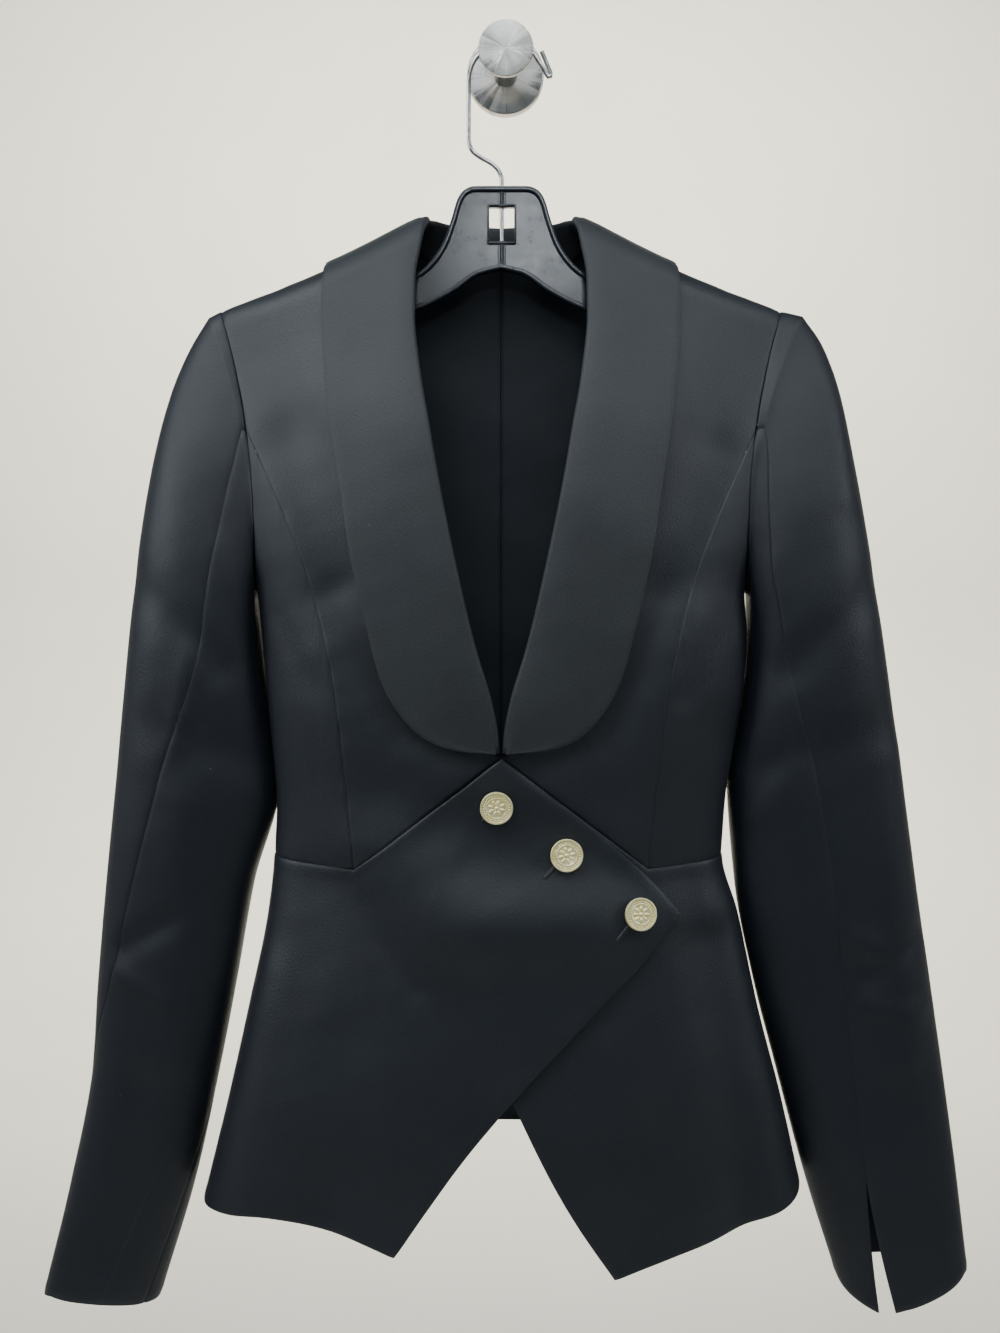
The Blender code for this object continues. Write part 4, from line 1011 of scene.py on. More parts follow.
# %% Sleeve tables
SleeveRow = namedtuple("SleeveRow", "out_x out_z in_x in_z front back scoop seam")
LEFT_SLEEVE = rows_of(
    SleeveRow,
    (-189.5, -160.5, -161.6, -339, 73, 20, 13, 89),
    (-200.5, -179, -160.8, -344, 77, 17, 14, 91),
    (-212, -205, -160.0, -351, 80, 14, 11, 93),
    (-224.5, -250, -158.8, -362, 83, 12, 6, 96),
    (-235, -305, -157.0, -383, 83, 11, 2, 97),
    (-245, -375, -153.6, -416, 81, 12, 0, 90),
    (-254.5, -450, -149.6, -464, 78, 13, 0, 72),
    (-264.5, -527, -167, -527, 74, 15, 0, 60),
    (-272, -590, -180, -593, 71, 16, 0, 46),
    (-278.5, -652, -193, -656, 68, 18, 0, 12),
    (-295, -727, -211, -733, 64, 20, 0, -24),
    (-318, -814, -238, -820, 60, 23, 0, -40),
)
RIGHT_SLEEVE = rows_of(
    SleeveRow,
    (189.5, -159.5, 157.4, -338, 73, 20, 15, 90),
    (202, -178, 156.9, -343, 77, 17, 17, 97),
    (212, -205, 157.0, -350, 80, 14, 15, 106),
    (222, -250, 157.0, -361, 83, 12, 9, 116),
    (233, -305, 156.2, -383, 83, 11, 3, 117),
    (246, -375, 152.2, -416, 81, 12, 0, 106),
    (259, -450, 146.2, -455, 76, 14, 0, 93),
    (272, -527, 152.5, -527, 72, 16, 0, 90),
    (283.5, -590, 165.8, -592, 69, 17, 0, 92),
    (294.5, -652, 183, -656, 66, 18, 0, 95),
    (307, -727, 204, -731, 63, 20, 0, 100),
    (318, -800, 227, -800, 60, 22, 0, 104),
)
CuffRow = namedtuple("CuffRow", "point spread slit_open")
LEFT_CUFF, RIGHT_CUFF = CuffRow(9.0, 80.0, 5.0), CuffRow(26.0, 80.0, 12.0)
SLIT_LENGTH, SLIT_REACH, SLEEVE_POWER, SCOOP_BEHIND = 68.0, 22, 2.3, 0.35
ARMHOLE_REACH, ARMHOLE_CALM, EVEN_FROM, CUFF_FROM = 5.0, 18, 3, 0.72
HIND_TURN = float(armhole_turns([75.0], SCOOP_BACK)[0])
SLEEVE_FOLDS = folds_on(
    FRONT,
    (((-250, -566), (-214, -545)), 9, -2.6),
    (((-252, -584), (-222, -600)), 8, 1.8),
    (((-178, -380), (-232, -330)), 13, -2.2),
    (((-166, -440), (-226, -420)), 14, -1.8),
    (((-206, -470), (-222, -640)), 15, 2.6),
    (((-240, -660), (-262, -780)), 12, -2.0),
    (((-197, -372), (-209, -428)), 8, 1.8),
    (((183, -446), (163, -480)), 9, 1.6),
    (((222, -556), (247, -570)), 8, 2.0),
    (((236, -585), (268, -562)), 9, -2.6),
    (((240, -606), (272, -612)), 8, 1.8),
    (((178, -382), (232, -332)), 13, -2.4),
    (((168, -446), (228, -424)), 14, -1.8),
    (((250, -440), (266, -640)), 14, 3.0),
    (((212, -560), (236, -690)), 13, -2.2),
    (((204, -200), (214, -275)), 9, 2.4),
)
print("sleeve folds:", len(SLEEVE_FOLDS))

# %% [markdown]
# The rings follow each other from the armhole on, where they lie on the body, to the cuff, where the
# front seam ends in an open slit and the hem drops to a point.


# %% Sleeve rings
FIRST_STATIONS = [0.0, 0.06, 0.14, 0.25, 0.4, 0.6, 0.8]


def sleeve_turns(ring_share, seam):
    above = BACK_TURNS[1:][BACK_TURNS[1:] < HIND_TURN]
    upper_armhole = np.concatenate([FRONT_TURNS[::-1], -above, [-HIND_TURN]])
    behind = BACK_TURNS[:-1][BACK_TURNS[:-1] > HIND_TURN]
    under_armhole = np.concatenate([UNDER_TURNS, 2 * np.pi - behind[::-1], [2 * np.pi - HIND_TURN]])
    made = []
    for armhole, turn in ((upper_armhole, -np.pi), (under_armhole, np.pi)):
        even = seam + turn * np.linspace(0, 1, len(armhole))
        settle = smooth_step(ring_share * EVEN_FROM)
        made.append(armhole * (1 - settle) + even * settle)
    return made


def sleeve_ring(row, turn):
    cosine, sine = np.cos(turn), np.sin(turn)
    reach = np.sign(cosine) * np.abs(cosine) ** (2 / SLEEVE_POWER)
    bulge = np.sign(sine) * np.abs(sine) ** (2 / SLEEVE_POWER)
    out, inn = np.array([row.out_x, row.out_z]), np.array([row.in_x, row.in_z])
    chord = (out - inn) / 2
    inward = np.array([chord[1], -chord[0]]) / np.hypot(*chord)
    if inward[0] * out[0] > 0:
        inward = -inward
    scoop = row.scoop * np.where(sine > 0, 1.0, SCOOP_BEHIND) * sine**2
    points = (out + inn) / 2 + reach[:, None] * chord + scoop[:, None] * inward
    depth = (row.front + row.back) / 2 + bulge * (row.front - row.back) / 2
    return np.stack([points[:, 0] - GARMENT_MID, depth, points[:, 1]], axis=-1)


def armhole_ring(side, turn):
    wrapped = (turn + np.pi) % (2 * np.pi) - np.pi
    behind = (wrapped < 0) | (turn > np.pi)
    x, z = armhole_line(np.abs(wrapped), np.where(behind, SCOOP_BACK, SCOOP_FRONT))
    x = np.where(np.isclose(np.abs(wrapped), np.pi), side_half(side * x, z), x)
    return body_points(side * x, z, np.where(behind, BACK, FRONT))[0]


def sleeve_rings(side, table, cuff):
    knots = np.arange(1, len(table) + 1)
    curve = {name: curve_through(knots, column) for name, column in zip(SleeveRow._fields, zip(*table))}
    stations = np.concatenate([FIRST_STATIONS, np.linspace(1, len(table), 165)])
    length = abs(table[-1].out_z - table[0].out_z)
    rings, fronts, count = [], [], None
    for station in stations:
        share = station / len(table)
        row = SleeveRow(*(float(curve[name](max(station, 1.0))) for name in SleeveRow._fields))
        seam = math.radians(float(curve["seam"](station)))
        upper, under = sleeve_turns(share, seam)
        count = len(upper)
        turn = np.concatenate([upper, under])
        start = armhole_ring(side, turn)
        ring = sleeve_ring(row, turn)
        ring[:, 1] += (1 - smooth_step(max(station, 1.0) / ARMHOLE_REACH)) * (start[:, 1] - ring[:, 1])
        if station < 1:
            ring = start + (ring - start) * station
        away = np.degrees(np.abs(turn - seam))
        away = np.minimum(away, 360 - away)
        near_cuff = smooth_step((share - CUFF_FROM) / (1 - CUFF_FROM))
        ring[:, 2] -= cuff.point * near_cuff * np.clip(1 - away / cuff.spread, 0, 1)
        opening = cuff.slit_open / 2 * np.clip(1 - length * (1 - share) / SLIT_LENGTH, 0, 1)
        for first, second in ((0, 1), (count, count + 1)):
            own = slice(first, first + count) if first == 0 else slice(first, len(turn))
            tangent = ring[second] - ring[first]
            tangent /= np.linalg.norm(tangent)
            reach = np.linalg.norm(ring[own] - ring[first], axis=-1)
            ring[own] += (opening * np.clip(1 - reach / SLIT_REACH, 0, 1) ** 2)[:, None] * tangent
        rings.append(ring)
        fronts.append(np.clip(np.sin(turn), 0, 1))
    return np.array(rings), np.array(fronts), count


def grid_normals(grid, outside):
    normal = np.cross(np.gradient(grid, axis=1), np.gradient(grid, axis=0))
    normal /= np.maximum(np.linalg.norm(normal, axis=-1, keepdims=True), 1e-9)
    return normal * np.sign((normal * outside).sum(-1).mean())


print("rings before the first row:", len(FIRST_STATIONS))

# %% [markdown]
# Each sleeve is split along its two seams into the upper and the under piece. The folds lie on the front of
# the arm and fade out towards the armhole.

# %% Sleeve pieces
SLEEVES = {"left": (LEFT_SLEEVE, LEFT_CUFF), "right": (RIGHT_SLEEVE, RIGHT_CUFF)}
SLEEVE_EDGES = {"top": "seam", "first": "seam", "last": "seam", "bottom": "fold"}
made = []
for side, word in SIDES:
    rings, fronts, count = sleeve_rings(side, *SLEEVES[word])
    outside = rings - rings.mean(axis=1, keepdims=True)
    parts = {"upper": slice(0, count), "under": slice(count, rings.shape[1])}
    for part, own in parts.items():
        name = f"sleeve_{word}_{part}"
        grid = rings[:, own]
        normal = grid_normals(grid, outside[:, own])
        folds = sum(line_fold(grid[..., 0] + GARMENT_MID, grid[..., 2], fold) for fold in SLEEVE_FOLDS)
        folds = (folds + unevenness(grid[..., 0], grid[..., 2])) * fronts[:, own]
        calm = smooth_step(lengths(grid, 0) / ARMHOLE_CALM)
        grid = pulled_in(grid + (folds * calm)[..., None] * normal, SLEEVE_EDGES)
        grid = grid + edge_relief(grid, SLEEVE_EDGES)[..., None] * normal
        piece = cloth_from(name + "_cloth", grid, normal, [shaded_sleeve_cloth, lining])
        finish_piece(piece, "suiting", name, name + "_forearm")
        made.append(piece)
tell("sleeve pieces", *made)

# %% [markdown]
# ## Buttons
# The buttons are cast brass with a gold finish: a raised rim, a ring of beads and a plain rosette in the
# middle. One is modelled at the origin from a cylinder and copied to the three places.

# %% Gold finish
gold = patterned_material(
    "gold finish", NOISE, {"Scale": 260.0, "Detail": 4.0},
    tones=((0.3, (0.88, 0.76, 0.34)), (0.7, (0.98, 0.92, 0.58))),
    bump=(0.12, 0.0002), constants={"Metallic": 0.5, "Roughness": 0.34},
)
print("button material:", gold.name)

# %% [markdown]
# The disc's face is inset and pushed down or up three times, which leaves the rim and the round field. Small
# balls on it are the beads, the petals and the boss, and a short pin behind is the shank.

# %% One button
BUTTON_RADIUS, BUTTON_THICK, SHANK_LENGTH, SHANK_RADIUS = 10.2, 2.4, 2.6, 2.0
FACE_STEPS = ((1.2, -0.8), (2.3, 0.45), (0.5, -0.3))
BEADS, BEAD_RING, BEAD_RADIUS, BEAD_DROP = 30, 7.85, 0.62, 0.75
PETALS, PETAL_RING, PETAL_SHAPE, PETAL_DROP = 8, 3.5, (1.95, 1.15, 0.75), 0.62
BOSS_RADIUS, BOSS_SHAPE, BOSS_DROP = 1.5, (1, 1, 0.7), 0.55


def pick_top_face(piece):
    bpy.ops.object.mode_set(mode="EDIT")
    bpy.ops.mesh.select_mode(type="FACE")
    bpy.ops.mesh.select_all(action="DESELECT")
    bpy.ops.object.mode_set(mode="OBJECT")
    top = max(piece.data.polygons, key=lambda face: (round(face.center.z, 6), face.area))
    top.select = True
    bpy.ops.object.mode_set(mode="EDIT")


def pin(radius, top, foot, vertices):
    middle = (0, 0, (top + foot) / 2 * MM)
    bpy.ops.mesh.primitive_cylinder_add(
        vertices=vertices, radius=radius * MM, depth=(top - foot) * MM, location=middle
    )
    return bpy.context.object


def ball(radius, ring, turn, drop, segments, rings, spin=0.0, shape=(1, 1, 1)):
    height = SHANK_LENGTH + BUTTON_THICK - drop
    place = (ring * MM * math.cos(turn), ring * MM * math.sin(turn), height * MM)
    bpy.ops.mesh.primitive_uv_sphere_add(
        segments=segments, ring_count=rings, radius=radius * MM, location=place, rotation=(0, 0, spin)
    )
    bpy.context.object.scale = shape
    return bpy.context.object


button = pin(BUTTON_RADIUS, SHANK_LENGTH + BUTTON_THICK, SHANK_LENGTH, 64)
bpy.ops.object.transform_apply(location=True)
pick_top_face(button)
for inset, rise in FACE_STEPS:
    bpy.ops.mesh.inset(thickness=inset * MM)
    bpy.ops.mesh.extrude_region_move(TRANSFORM_OT_translate={"value": (0, 0, rise * MM)})
bpy.ops.object.mode_set(mode="OBJECT")
soften(button, 0.22, 40)
apply_all(button)
relief = []
for turn in np.arange(BEADS) * math.tau / BEADS:
    relief.append(ball(BEAD_RADIUS, BEAD_RING, turn, BEAD_DROP, 10, 6))
for turn in np.arange(PETALS) * math.tau / PETALS:
    relief.append(ball(1.0, PETAL_RING, turn, PETAL_DROP, 16, 10, turn, PETAL_SHAPE))
relief.append(ball(BOSS_RADIUS, 0, 0, BOSS_DROP, 20, 12, shape=BOSS_SHAPE))
relief.append(pin(SHANK_RADIUS, SHANK_LENGTH, 0, 24))
only(button, *relief)
bpy.ops.object.transform_apply(location=False, rotation=True, scale=True)
bpy.ops.object.join()
wear_only(button, gold)
tell("button", button)

# %% [markdown]
# The three buttons sit square on the flap, each turned a little further than the one before.

# %% Three buttons on the flap
BUTTONS = ((-2.5, -465.5), (40.0, -497.0), (85.0, -534.5))
BUTTON_SEAT, BUTTON_SPIN = 0.35, 0.5
for number, (x, z) in enumerate(BUTTONS, 1):
    seat, normal = body_points(np.array([x]), np.array([z]), FRONT, np.array([OVERLAP_LIFT + BUTTON_SEAT]))
    facing = Vector(normal[0] * (1, -1, 1)).to_track_quat("Z", "Y").to_matrix().to_4x4()
    turned = facing @ Matrix.Rotation(BUTTON_SPIN * number, 4, "Z")
    only(button)
    bpy.ops.object.duplicate()
    copy = bpy.context.object
    copy.name = copy.data.name = f"button_{number}_cast"
    copy.data.transform(Matrix.Translation(Vector(world(seat)[0])) @ turned)
    finish_piece(copy, "button_gold", f"button_{number}")
bpy.data.objects.remove(button)
print("buttons at:", BUTTONS)

# %% [markdown]
# A buttonhole is cut towards the flap's edge and oversewn with close stitches. Only its far end shows, as
# a short ribbed bar beside each button.

# %% Buttonhole stitching
thread = patterned_material(
    "buttonhole thread", WAVE, {"Scale": 900.0, "Distortion": 2.0},
    tones=((0.2, (0.006, 0.006, 0.008)), (0.8, (0.016, 0.016, 0.019))),
    bump=(0.3, 0.0002), constants={"Roughness": 0.42},
)
EDGE_WAY = np.array([0.742, -0.670])
HOLE_WAY = np.array([-0.670, -0.742])
HOLE_FROM, HOLE_ENDS, STITCH, HALF_BAR = 7.0, (13.5, 20.0, 20.5), 0.62, 1.35
SLOT_DEPTH, SLOT_WIDTH, SLOT_END = 0.55, 0.16, 1.6
for number, ((x, z), reach) in enumerate(zip(BUTTONS, HOLE_ENDS), 1):
    rows = np.linspace(0, 1, int((reach - HOLE_FROM) / STITCH * 4) + 1)[:, None]
    across = np.linspace(-1, 1, 13)[None, :]
    out = HOLE_FROM + (reach - HOLE_FROM) * rows
    taper = np.sqrt(np.clip((reach + 0.4 - out) / 2.2, 0.05, 1))
    ribs = 0.5 + 0.5 * np.abs(np.sin(np.pi * out / STITCH))
    slot = SLOT_DEPTH * bell(across, SLOT_WIDTH) * (out < reach - SLOT_END)
    hump = np.sqrt(np.clip(1 - across**2, 0, 1)) - slot
    lift = OVERLAP_LIFT + 0.05 + 0.75 * hump * (0.65 + 0.35 * ribs) * np.minimum(1, taper + 0.3)
    x_at = x + HOLE_WAY[0] * out + EDGE_WAY[0] * HALF_BAR * across * taper
    z_at = z + HOLE_WAY[1] * out + EDGE_WAY[1] * HALF_BAR * across * taper
    grid, normal = body_points(x_at, z_at, FRONT, lift)
    piece = cloth_from(f"buttonhole_{number}", grid, normal, [thread], thickness=0.5, edge=0.05)
    finish_piece(piece, "suiting")
print("buttonhole bars:", len(BUTTONS))

# %% [markdown]
# ## The hanger
# The hanger is one moulding of glossy black plastic, with a rim round its edge and a small window under
# the hook. Its outline is drawn as one face, extruded, and inset on both sides to leave the rim.

# %% Plastic and metal finishes
plastic = patterned_material(
    "moulded plastic", NOISE, {"Scale": 120.0, "Detail": 6.0, "Roughness": 0.7},
    tones=((0.35, (0.009, 0.012, 0.017)), (0.75, (0.016, 0.020, 0.027))),
    polish=((0.3, grey(0.17)), (0.8, grey(0.25))),
    bump=(0.012, 0.0004), constants={"Specular IOR Level": 0.65},
)
chrome = patterned_material(
    "plated wire", NOISE, {"Scale": 180.0, "Detail": 3.0},
    tones=((0.3, (0.32, 0.32, 0.33)), (0.7, grey(0.52))),
    polish=((0.3, grey(0.12)), (0.7, grey(0.26))), constants={"Metallic": 1.0},
)
print("hanger materials:", plastic.name, chrome.name)

# %% [markdown]
# One half of the outline is drawn: the neck, the arm that follows the shoulder seam, the round end and the
# lower edge. The other half is its mirror image.

# %% Hanger outline
HOOK_DEPTH, HANGER_MID = 37.0, -2.5
HANGER_UPPER = (
    (0, -79), (17, -79), (23.5, -81.5), (27.5, -87), (31, -98), (36.5, -113), (44, -124.5), (54, -132.5),
)
HANGER_LOWER = ((150, -172.5), (110, -163.5), (80, -160.5), (54, -155), (30, -143.5), (14, -133), (0, -129.5))
ARM_SHARES, ARM_END = (0.25, 0.5, 0.75, 0.92), ((-2, -0.6), (1, -5), (0.5, -14), (-5, -20))
ARM_TIP_X, ARM_SEAT, ARM_TAPER_FROM, ARM_TAPER, ARM_FORWARD = 166.0, 1.0, 50.0, 0.5, 4.0


def rounded_line(points, step):
    points = np.array(points, float)
    along = np.concatenate([[0], np.cumsum(np.hypot(*np.diff(points, axis=0).T))])
    at = np.linspace(0, along[-1], int(along[-1] / step))
    return np.stack([curve_through(along, column)(at) for column in points.T], axis=-1)


tip_z = float(shoulder_z(ARM_TIP_X, FRONT)) - CLOTH - ARM_SEAT
start_x, start_z = HANGER_UPPER[-1]
arm = []
for share in ARM_SHARES:
    arm_x = start_x + (ARM_TIP_X - start_x) * share
    arm.append((arm_x, start_z + (tip_z - start_z) * math.sin(share * math.pi / 2)))
end = [(ARM_TIP_X + beside, tip_z + below) for beside, below in ARM_END]
right = rounded_line([*HANGER_UPPER, *arm, *end, *HANGER_LOWER], 3.0)
outline = np.concatenate([right, right[-2:0:-1] * (-1, 1)])
print("points round the hanger:", len(outline))

# %% [markdown]
# The outline is filled, extruded to a plate, and inset on both sides. The arms are cut across at even steps,
# so that they can taper and bend forward, as the shoulders of a jacket do.

# %% Hanger moulding
PLATE_THICK, PLATE_RIM, PLATE_SLOPE, PLATE_POCKET, ARM_STEP = 10.0, 2.6, 0.7, 3.2, 12.0
bpy.ops.mesh.primitive_circle_add(vertices=len(outline), radius=1, fill_type="NGON")
hanger = bpy.context.object
hanger.name = hanger.data.name = "hanger_moulding"
for vertex, (x, z) in zip(hanger.data.vertices, outline):
    vertex.co = ((x + GARMENT_MID) * MM, (PLATE_THICK / 2 - HOOK_DEPTH) * MM, z * MM)
edit_all()
bpy.ops.mesh.extrude_region_move(TRANSFORM_OT_translate={"value": (0, -PLATE_THICK * MM, 0)})
bpy.ops.mesh.select_all(action="SELECT")
bpy.ops.mesh.normals_make_consistent(inside=False)
for forward in (-1, 1):
    bpy.ops.mesh.select_mode(type="FACE")
    bpy.ops.mesh.select_all(action="DESELECT")
    bpy.ops.object.mode_set(mode="OBJECT")
    for face in hanger.data.polygons:
        face.select = len(face.vertices) > 8 and face.normal.y * forward > 0.9
    bpy.ops.object.mode_set(mode="EDIT")
    bpy.ops.mesh.inset(thickness=PLATE_RIM * MM)
    bpy.ops.mesh.inset(thickness=PLATE_SLOPE * MM, depth=-PLATE_POCKET * MM)
for arm_x in np.arange(ARM_TAPER_FROM, ARM_TIP_X - 4, ARM_STEP):
    for side in (-1, 1):
        bpy.ops.mesh.select_all(action="SELECT")
        bpy.ops.mesh.bisect(plane_co=((side * arm_x + GARMENT_MID) * MM, 0, 0), plane_no=(1, 0, 0))
bpy.ops.mesh.select_all(action="SELECT")
bpy.ops.mesh.quads_convert_to_tris(ngon_method="CLIP")
bpy.ops.object.mode_set(mode="OBJECT")
for vertex in hanger.data.vertices:
    out = abs(vertex.co.x / MM - GARMENT_MID) - ARM_TAPER_FROM
    share = float(smooth_step(out / (ARM_TIP_X - ARM_TAPER_FROM)))
    beside = vertex.co.y + HOOK_DEPTH * MM
    vertex.co.y = beside * (1 - ARM_TAPER * share) - (HOOK_DEPTH + ARM_FORWARD * share) * MM
tell("hanger plate", hanger)

# %% [markdown]
# A window is cut under the hook and framed with four thin bars. A round boss above and below it holds the
# wire. The web between the rims is flat, so its faces are shaded flat.

# %% Hanger window
WINDOW_Z, WINDOW_SIZE = -102.0, (16, 30, 22)
BAR_UP, BAR_ACROSS = (1.4, 7.6, 24.0), (17.0, 7.6, 1.4)
BARS = (((-8.6, 0), BAR_UP), ((8.6, 0), BAR_UP), ((0, 11.6), BAR_ACROSS), ((0, -11.6), BAR_ACROSS))
BOSSES, BOSS_ROUND = ((-81.0, -91.5), (-112.5, -128.5)), 3.1
WEB_FACE = (PLATE_THICK / 2 - PLATE_POCKET + 0.5) * MM


def block(size, beside, above):
    middle = ((beside + HANGER_MID) * MM, -HOOK_DEPTH * MM, (above + WINDOW_Z) * MM)
    bpy.ops.mesh.primitive_cube_add(size=1, location=middle)
    made = bpy.context.object
    made.scale = tuple(length * MM for length in size)
    bpy.ops.object.transform_apply(location=False, rotation=False, scale=True)
    return made


window = block(WINDOW_SIZE, 0, 0)
cut = hanger.modifiers.new("window", "BOOLEAN")
cut.operation = "DIFFERENCE"
cut.object = window
soften(hanger, 0.7, 50)
apply_all(hanger)
bpy.data.objects.remove(window)
details = []
for top, foot in BOSSES:
    boss = pin(BOSS_ROUND, top, foot, 32)
    boss.location = (HANGER_MID * MM, -HOOK_DEPTH * MM, boss.location.z)
    details.append(boss)
for (beside, above), size in BARS:
    bar = block(size, beside, above)
    soften(bar, 0.35, 30)
    apply_all(bar)
    details.append(bar)
only(hanger, *details)
bpy.ops.object.join()
wear_only(hanger, plastic)
finish_piece(hanger, "hanger_plastic", "hanger_body")
for face in hanger.data.polygons:
    if abs(face.normal.y) > 0.99 and abs(face.center.y + HOOK_DEPTH * MM) < WEB_FACE:
        face.use_smooth = False
tell("hanger", hanger)

# %% [markdown]
# The hook is plated wire, bent round and turned back on itself at the tip. A curve with a round bevel is
# the natural way to make wire, and it becomes a mesh at the end.

# %% Wire hook
WIRE_RADIUS, WIRE_REST, HOOK_RADIUS, STEM_RADIUS = 1.4, 0.5, 23.8, 7.6
HOOK_NECK = (
    (-2.5, -112.0), (-2.5, -86.0), (-2.5, -74.0), (-4.5, -68.5), (-9.0, -64.2), (-16.5, -60.0),
    (-21.4, -56.0), (-23.3, -50.0), (-23.3, -35.0),
)
HOOK_TIP = (
    (23.6, -6.0), (25.6, -9.6), (26.9, -11.4), (28.2, -11.2), (28.4, -9.6), (27.2, -6.6), (24.2, 0.4),
    (22.6, 4.0),
)
hook_top = STEM_RADIUS + WIRE_RADIUS + WIRE_REST
route = list(HOOK_NECK)
for degrees in range(180, 25, -10):
    turn = math.radians(degrees)
    route.append((0.5 + HOOK_RADIUS * math.cos(turn), hook_top - HOOK_RADIUS + HOOK_RADIUS * math.sin(turn)))
route += HOOK_TIP
route = rounded_line(route, 1.6)
curve = bpy.data.curves.new("wire", "CURVE")
curve.dimensions = "3D"
curve.bevel_depth = WIRE_RADIUS * MM
curve.bevel_resolution = 5
curve.use_fill_caps = True
spline = curve.splines.new("POLY")
spline.points.add(len(route) - 1)
for point, (x, z) in zip(spline.points, route):
    point.co = (x * MM, -HOOK_DEPTH * MM, z * MM, 1)
wire = bpy.data.objects.new("hanger_wire_bent", curve)
bpy.context.scene.collection.objects.link(wire)
only(wire)
bpy.ops.object.convert(target="MESH")
wire = bpy.context.object
wear_only(wire, chrome)
finish_piece(wire, "hanger_wire", "hanger_hook")
tell("wire", wire)

# %% [markdown]
# ## The wall hook
# The hook is turned from steel bar: a flange on the wall, a stem, and a disc in front that keeps the hanger
# from slipping off. Its face was brushed round and round, which gives the wedge-shaped gleam of turned metal.
# The grooves follow the radius, and the polish changes from wedge to wedge.

# %% Brushed steel
WEDGE_TURN = 0.9
steel, tree, shader = new_material("turned steel")
place = tree.nodes.new("ShaderNodeTexCoord").outputs["Object"]
apart = add_node(tree, "ShaderNodeSeparateXYZ", Vector=place)
level = add_node(tree, "ShaderNodeCombineXYZ", X=apart.outputs["X"], Y=apart.outputs["Z"]).outputs["Vector"]
radius = add_node(tree, "ShaderNodeVectorMath", level, operation="LENGTH").outputs["Value"]
grooves = add_node(tree, NOISE, W=radius, Scale=2600.0, Detail=2.0, noise_dimensions="1D").outputs["Fac"]
share = add_node(tree, "ShaderNodeTexGradient", Vector=level, gradient_type="RADIAL").outputs["Fac"]
twice_round = add_node(tree, MATH, share, 2 * math.tau, WEDGE_TURN, operation="MULTIPLY_ADD")
swing = add_node(tree, MATH, twice_round.outputs[0], operation="SINE").outputs[0]
wedges = add_node(tree, NOISE, W=swing, Scale=2.1, Detail=3.0, noise_dimensions="1D").outputs["Fac"]
round_way = add_node(tree, "ShaderNodeTangent", direction_type="RADIAL", axis="Y")
feed(tree, shader, {
    "Base Color": ramp(tree, grooves, ((0.3, (0.4, 0.39, 0.365)), (0.7, (0.6, 0.58, 0.55)))),
    "Roughness": ramp(tree, wedges, ((0.36, grey(0.46)), (0.62, grey(0.2)))),
    "Normal": bumped(tree, grooves, 0.2, 0.0001),
    "Tangent": round_way.outputs["Tangent"],
    "Metallic": 1.0,
    "Anisotropic": 0.85,
})
print("hook material:", steel.name)

# %% [markdown]
# Half of the hook's section is drawn as a line and spun once round, as on a lathe.

# %% Turned hook
PROFILE_LINE = (
    (0, 0), (25, 0), (25, 7), (24.7, 7.7), (24, 8), (7.9, 8), (7.6, 8.4), (7.6, 50.6), (7.9, 51), (16.5, 51),
    (17, 51.5), (17, 54.5), (16.8, 54.9), (16.4, 55), (0, 55),
)
line = [(radius * MM, -depth * MM, 0) for radius, depth in PROFILE_LINE]
mesh = bpy.data.meshes.new("turned_hook")
mesh.from_pydata(line, [(i, i + 1) for i in range(len(line) - 1)], [])
hook = bpy.data.objects.new("turned_hook", mesh)
bpy.context.scene.collection.objects.link(hook)
only(hook)
edit_all()
bpy.ops.mesh.spin(steps=96, angle=math.tau, center=(0, 0, 0), axis=(0, 1, 0))
bpy.ops.mesh.select_all(action="SELECT")
bpy.ops.mesh.remove_doubles(threshold=1e-6)
bpy.ops.mesh.select_all(action="SELECT")
bpy.ops.mesh.normals_make_consistent(inside=False)
bpy.ops.object.mode_set(mode="OBJECT")
hook.data.materials.append(steel)
finish_piece(hook, "hook_steel", "wall_hook")
tell("hook", hook)

# %% [markdown]
# ## The room
# A pale floor far below sweeps up into a pale wall well behind, so that the jacket can be looked at from all
# round.

# %% Floor and backdrop
FLOOR_Z, FLOOR_FRONT, WALL_Y, WALL_TOP, SWEEP, ROOM_HALF = -1.35, -4.0, 2.6, 3.2, 0.9, 5.0
profile = [(FLOOR_FRONT, FLOOR_Z), (WALL_Y - SWEEP, FLOOR_Z)]
for degrees in range(10, 91, 10):
    turn = math.radians(degrees)
    profile.append((WALL_Y - SWEEP + SWEEP * math.sin(turn), FLOOR_Z + SWEEP - SWEEP * math.cos(turn)))
profile.append((WALL_Y, WALL_TOP))
bpy.ops.mesh.primitive_grid_add(x_subdivisions=1, y_subdivisions=len(profile) - 1, size=2)
room = bpy.context.object
room.name = room.data.name = "floor_and_backdrop"
for vertex in room.data.vertices:
    step = int(round((vertex.co.y + 1) / 2 * (len(profile) - 1)))
    vertex.co = (vertex.co.x * ROOM_HALF, *profile[step])
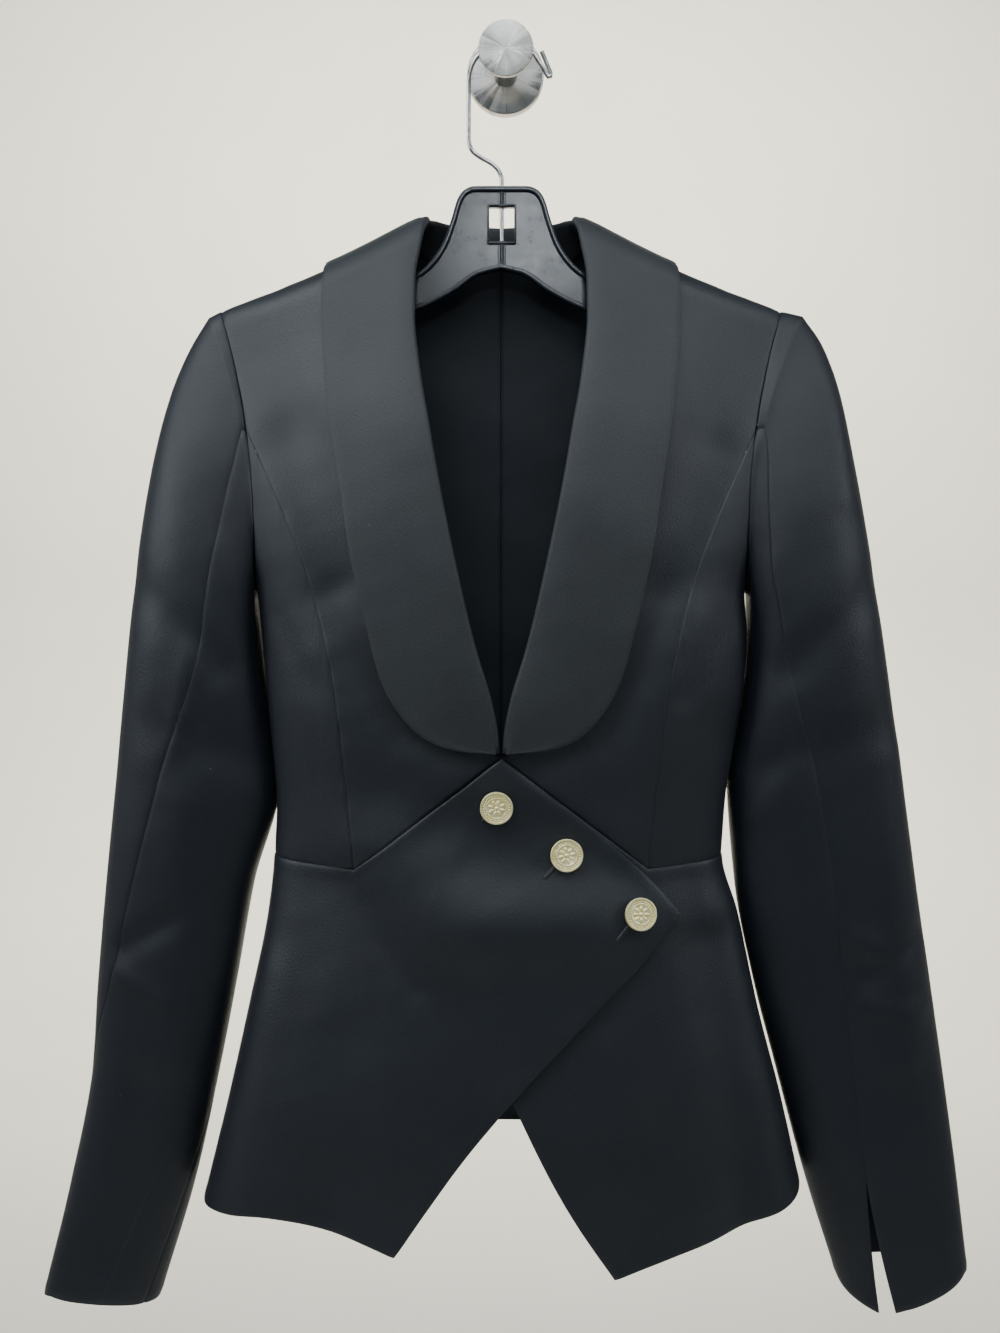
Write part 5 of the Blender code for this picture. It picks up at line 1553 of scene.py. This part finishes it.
paint = patterned_material(
    "pale paint", NOISE, {"Scale": 3.0, "Detail": 4.0},
    tones=((0.3, (0.74, 0.73, 0.71)), (0.7, (0.78, 0.77, 0.75))), constants={"Roughness": 0.8},
)
room.data.materials.append(paint)
only(room)
bpy.ops.object.shade_smooth()
print("floor at:", FLOOR_Z, "m")

# %% [markdown]
# Broad soft lights hang overhead, as ceiling panels do, with more from both sides and a small panel far in
# front that gleams in the plastic. One warm light is for the backdrop alone.


# %% Lights
LIGHT_SPREAD = math.radians(100)


def soft_light(name, place, target, size, power, colour):
    bpy.ops.object.light_add(type="AREA", location=place)
    light = bpy.context.object
    light.name = name
    light.data.shape = "RECTANGLE"
    light.data.size, light.data.size_y = size
    light.data.energy = power
    light.data.color = colour
    light.data.spread = LIGHT_SPREAD
    light.visible_camera = False
    light.rotation_euler = (Vector(target) - Vector(place)).to_track_quat("-Z", "Y").to_euler()


MIDDLE, COOL = (0, -0.05, -0.3), (0.9, 0.96, 1.0)
soft_light("ceiling left", (-0.55, -0.7, 0.9), MIDDLE, (0.8, 0.4), 3.9, COOL)
soft_light("ceiling right", (0.55, -0.7, 0.9), MIDDLE, (0.8, 0.4), 1.9, COOL)
soft_light("high left", (-0.8, -1.2, 0.7), MIDDLE, (0.8, 0.5), 0.6, COOL)
soft_light("high middle", (0, -1.3, 0.7), MIDDLE, (1.0, 0.5), 1.45, COOL)
soft_light("left side", (-1.5, -0.7, 0.2), MIDDLE, (0.5, 1.0), 5.0, COOL)
soft_light("right side", (1.5, -0.7, 0.2), MIDDLE, (0.5, 1.0), 3.1, COOL)
soft_light("front panel", (0.07, -2.4, 0.42), (0, 0, -0.12), (0.3, 0.24), 1.0, COOL)
soft_light("backdrop wash", (0.0, 0.7, 1.9), (0, 2.5, -0.3), (3.4, 1.0), 118, (1.0, 0.94, 0.76))
world_light = bpy.data.worlds.new("soft room")
bpy.context.scene.world = world_light
world_light.use_nodes = True
sky = world_light.node_tree.nodes["Background"]
feed(world_light.node_tree, sky, {"Color": (0.74, 0.88, 1.0, 1), "Strength": 0.16})
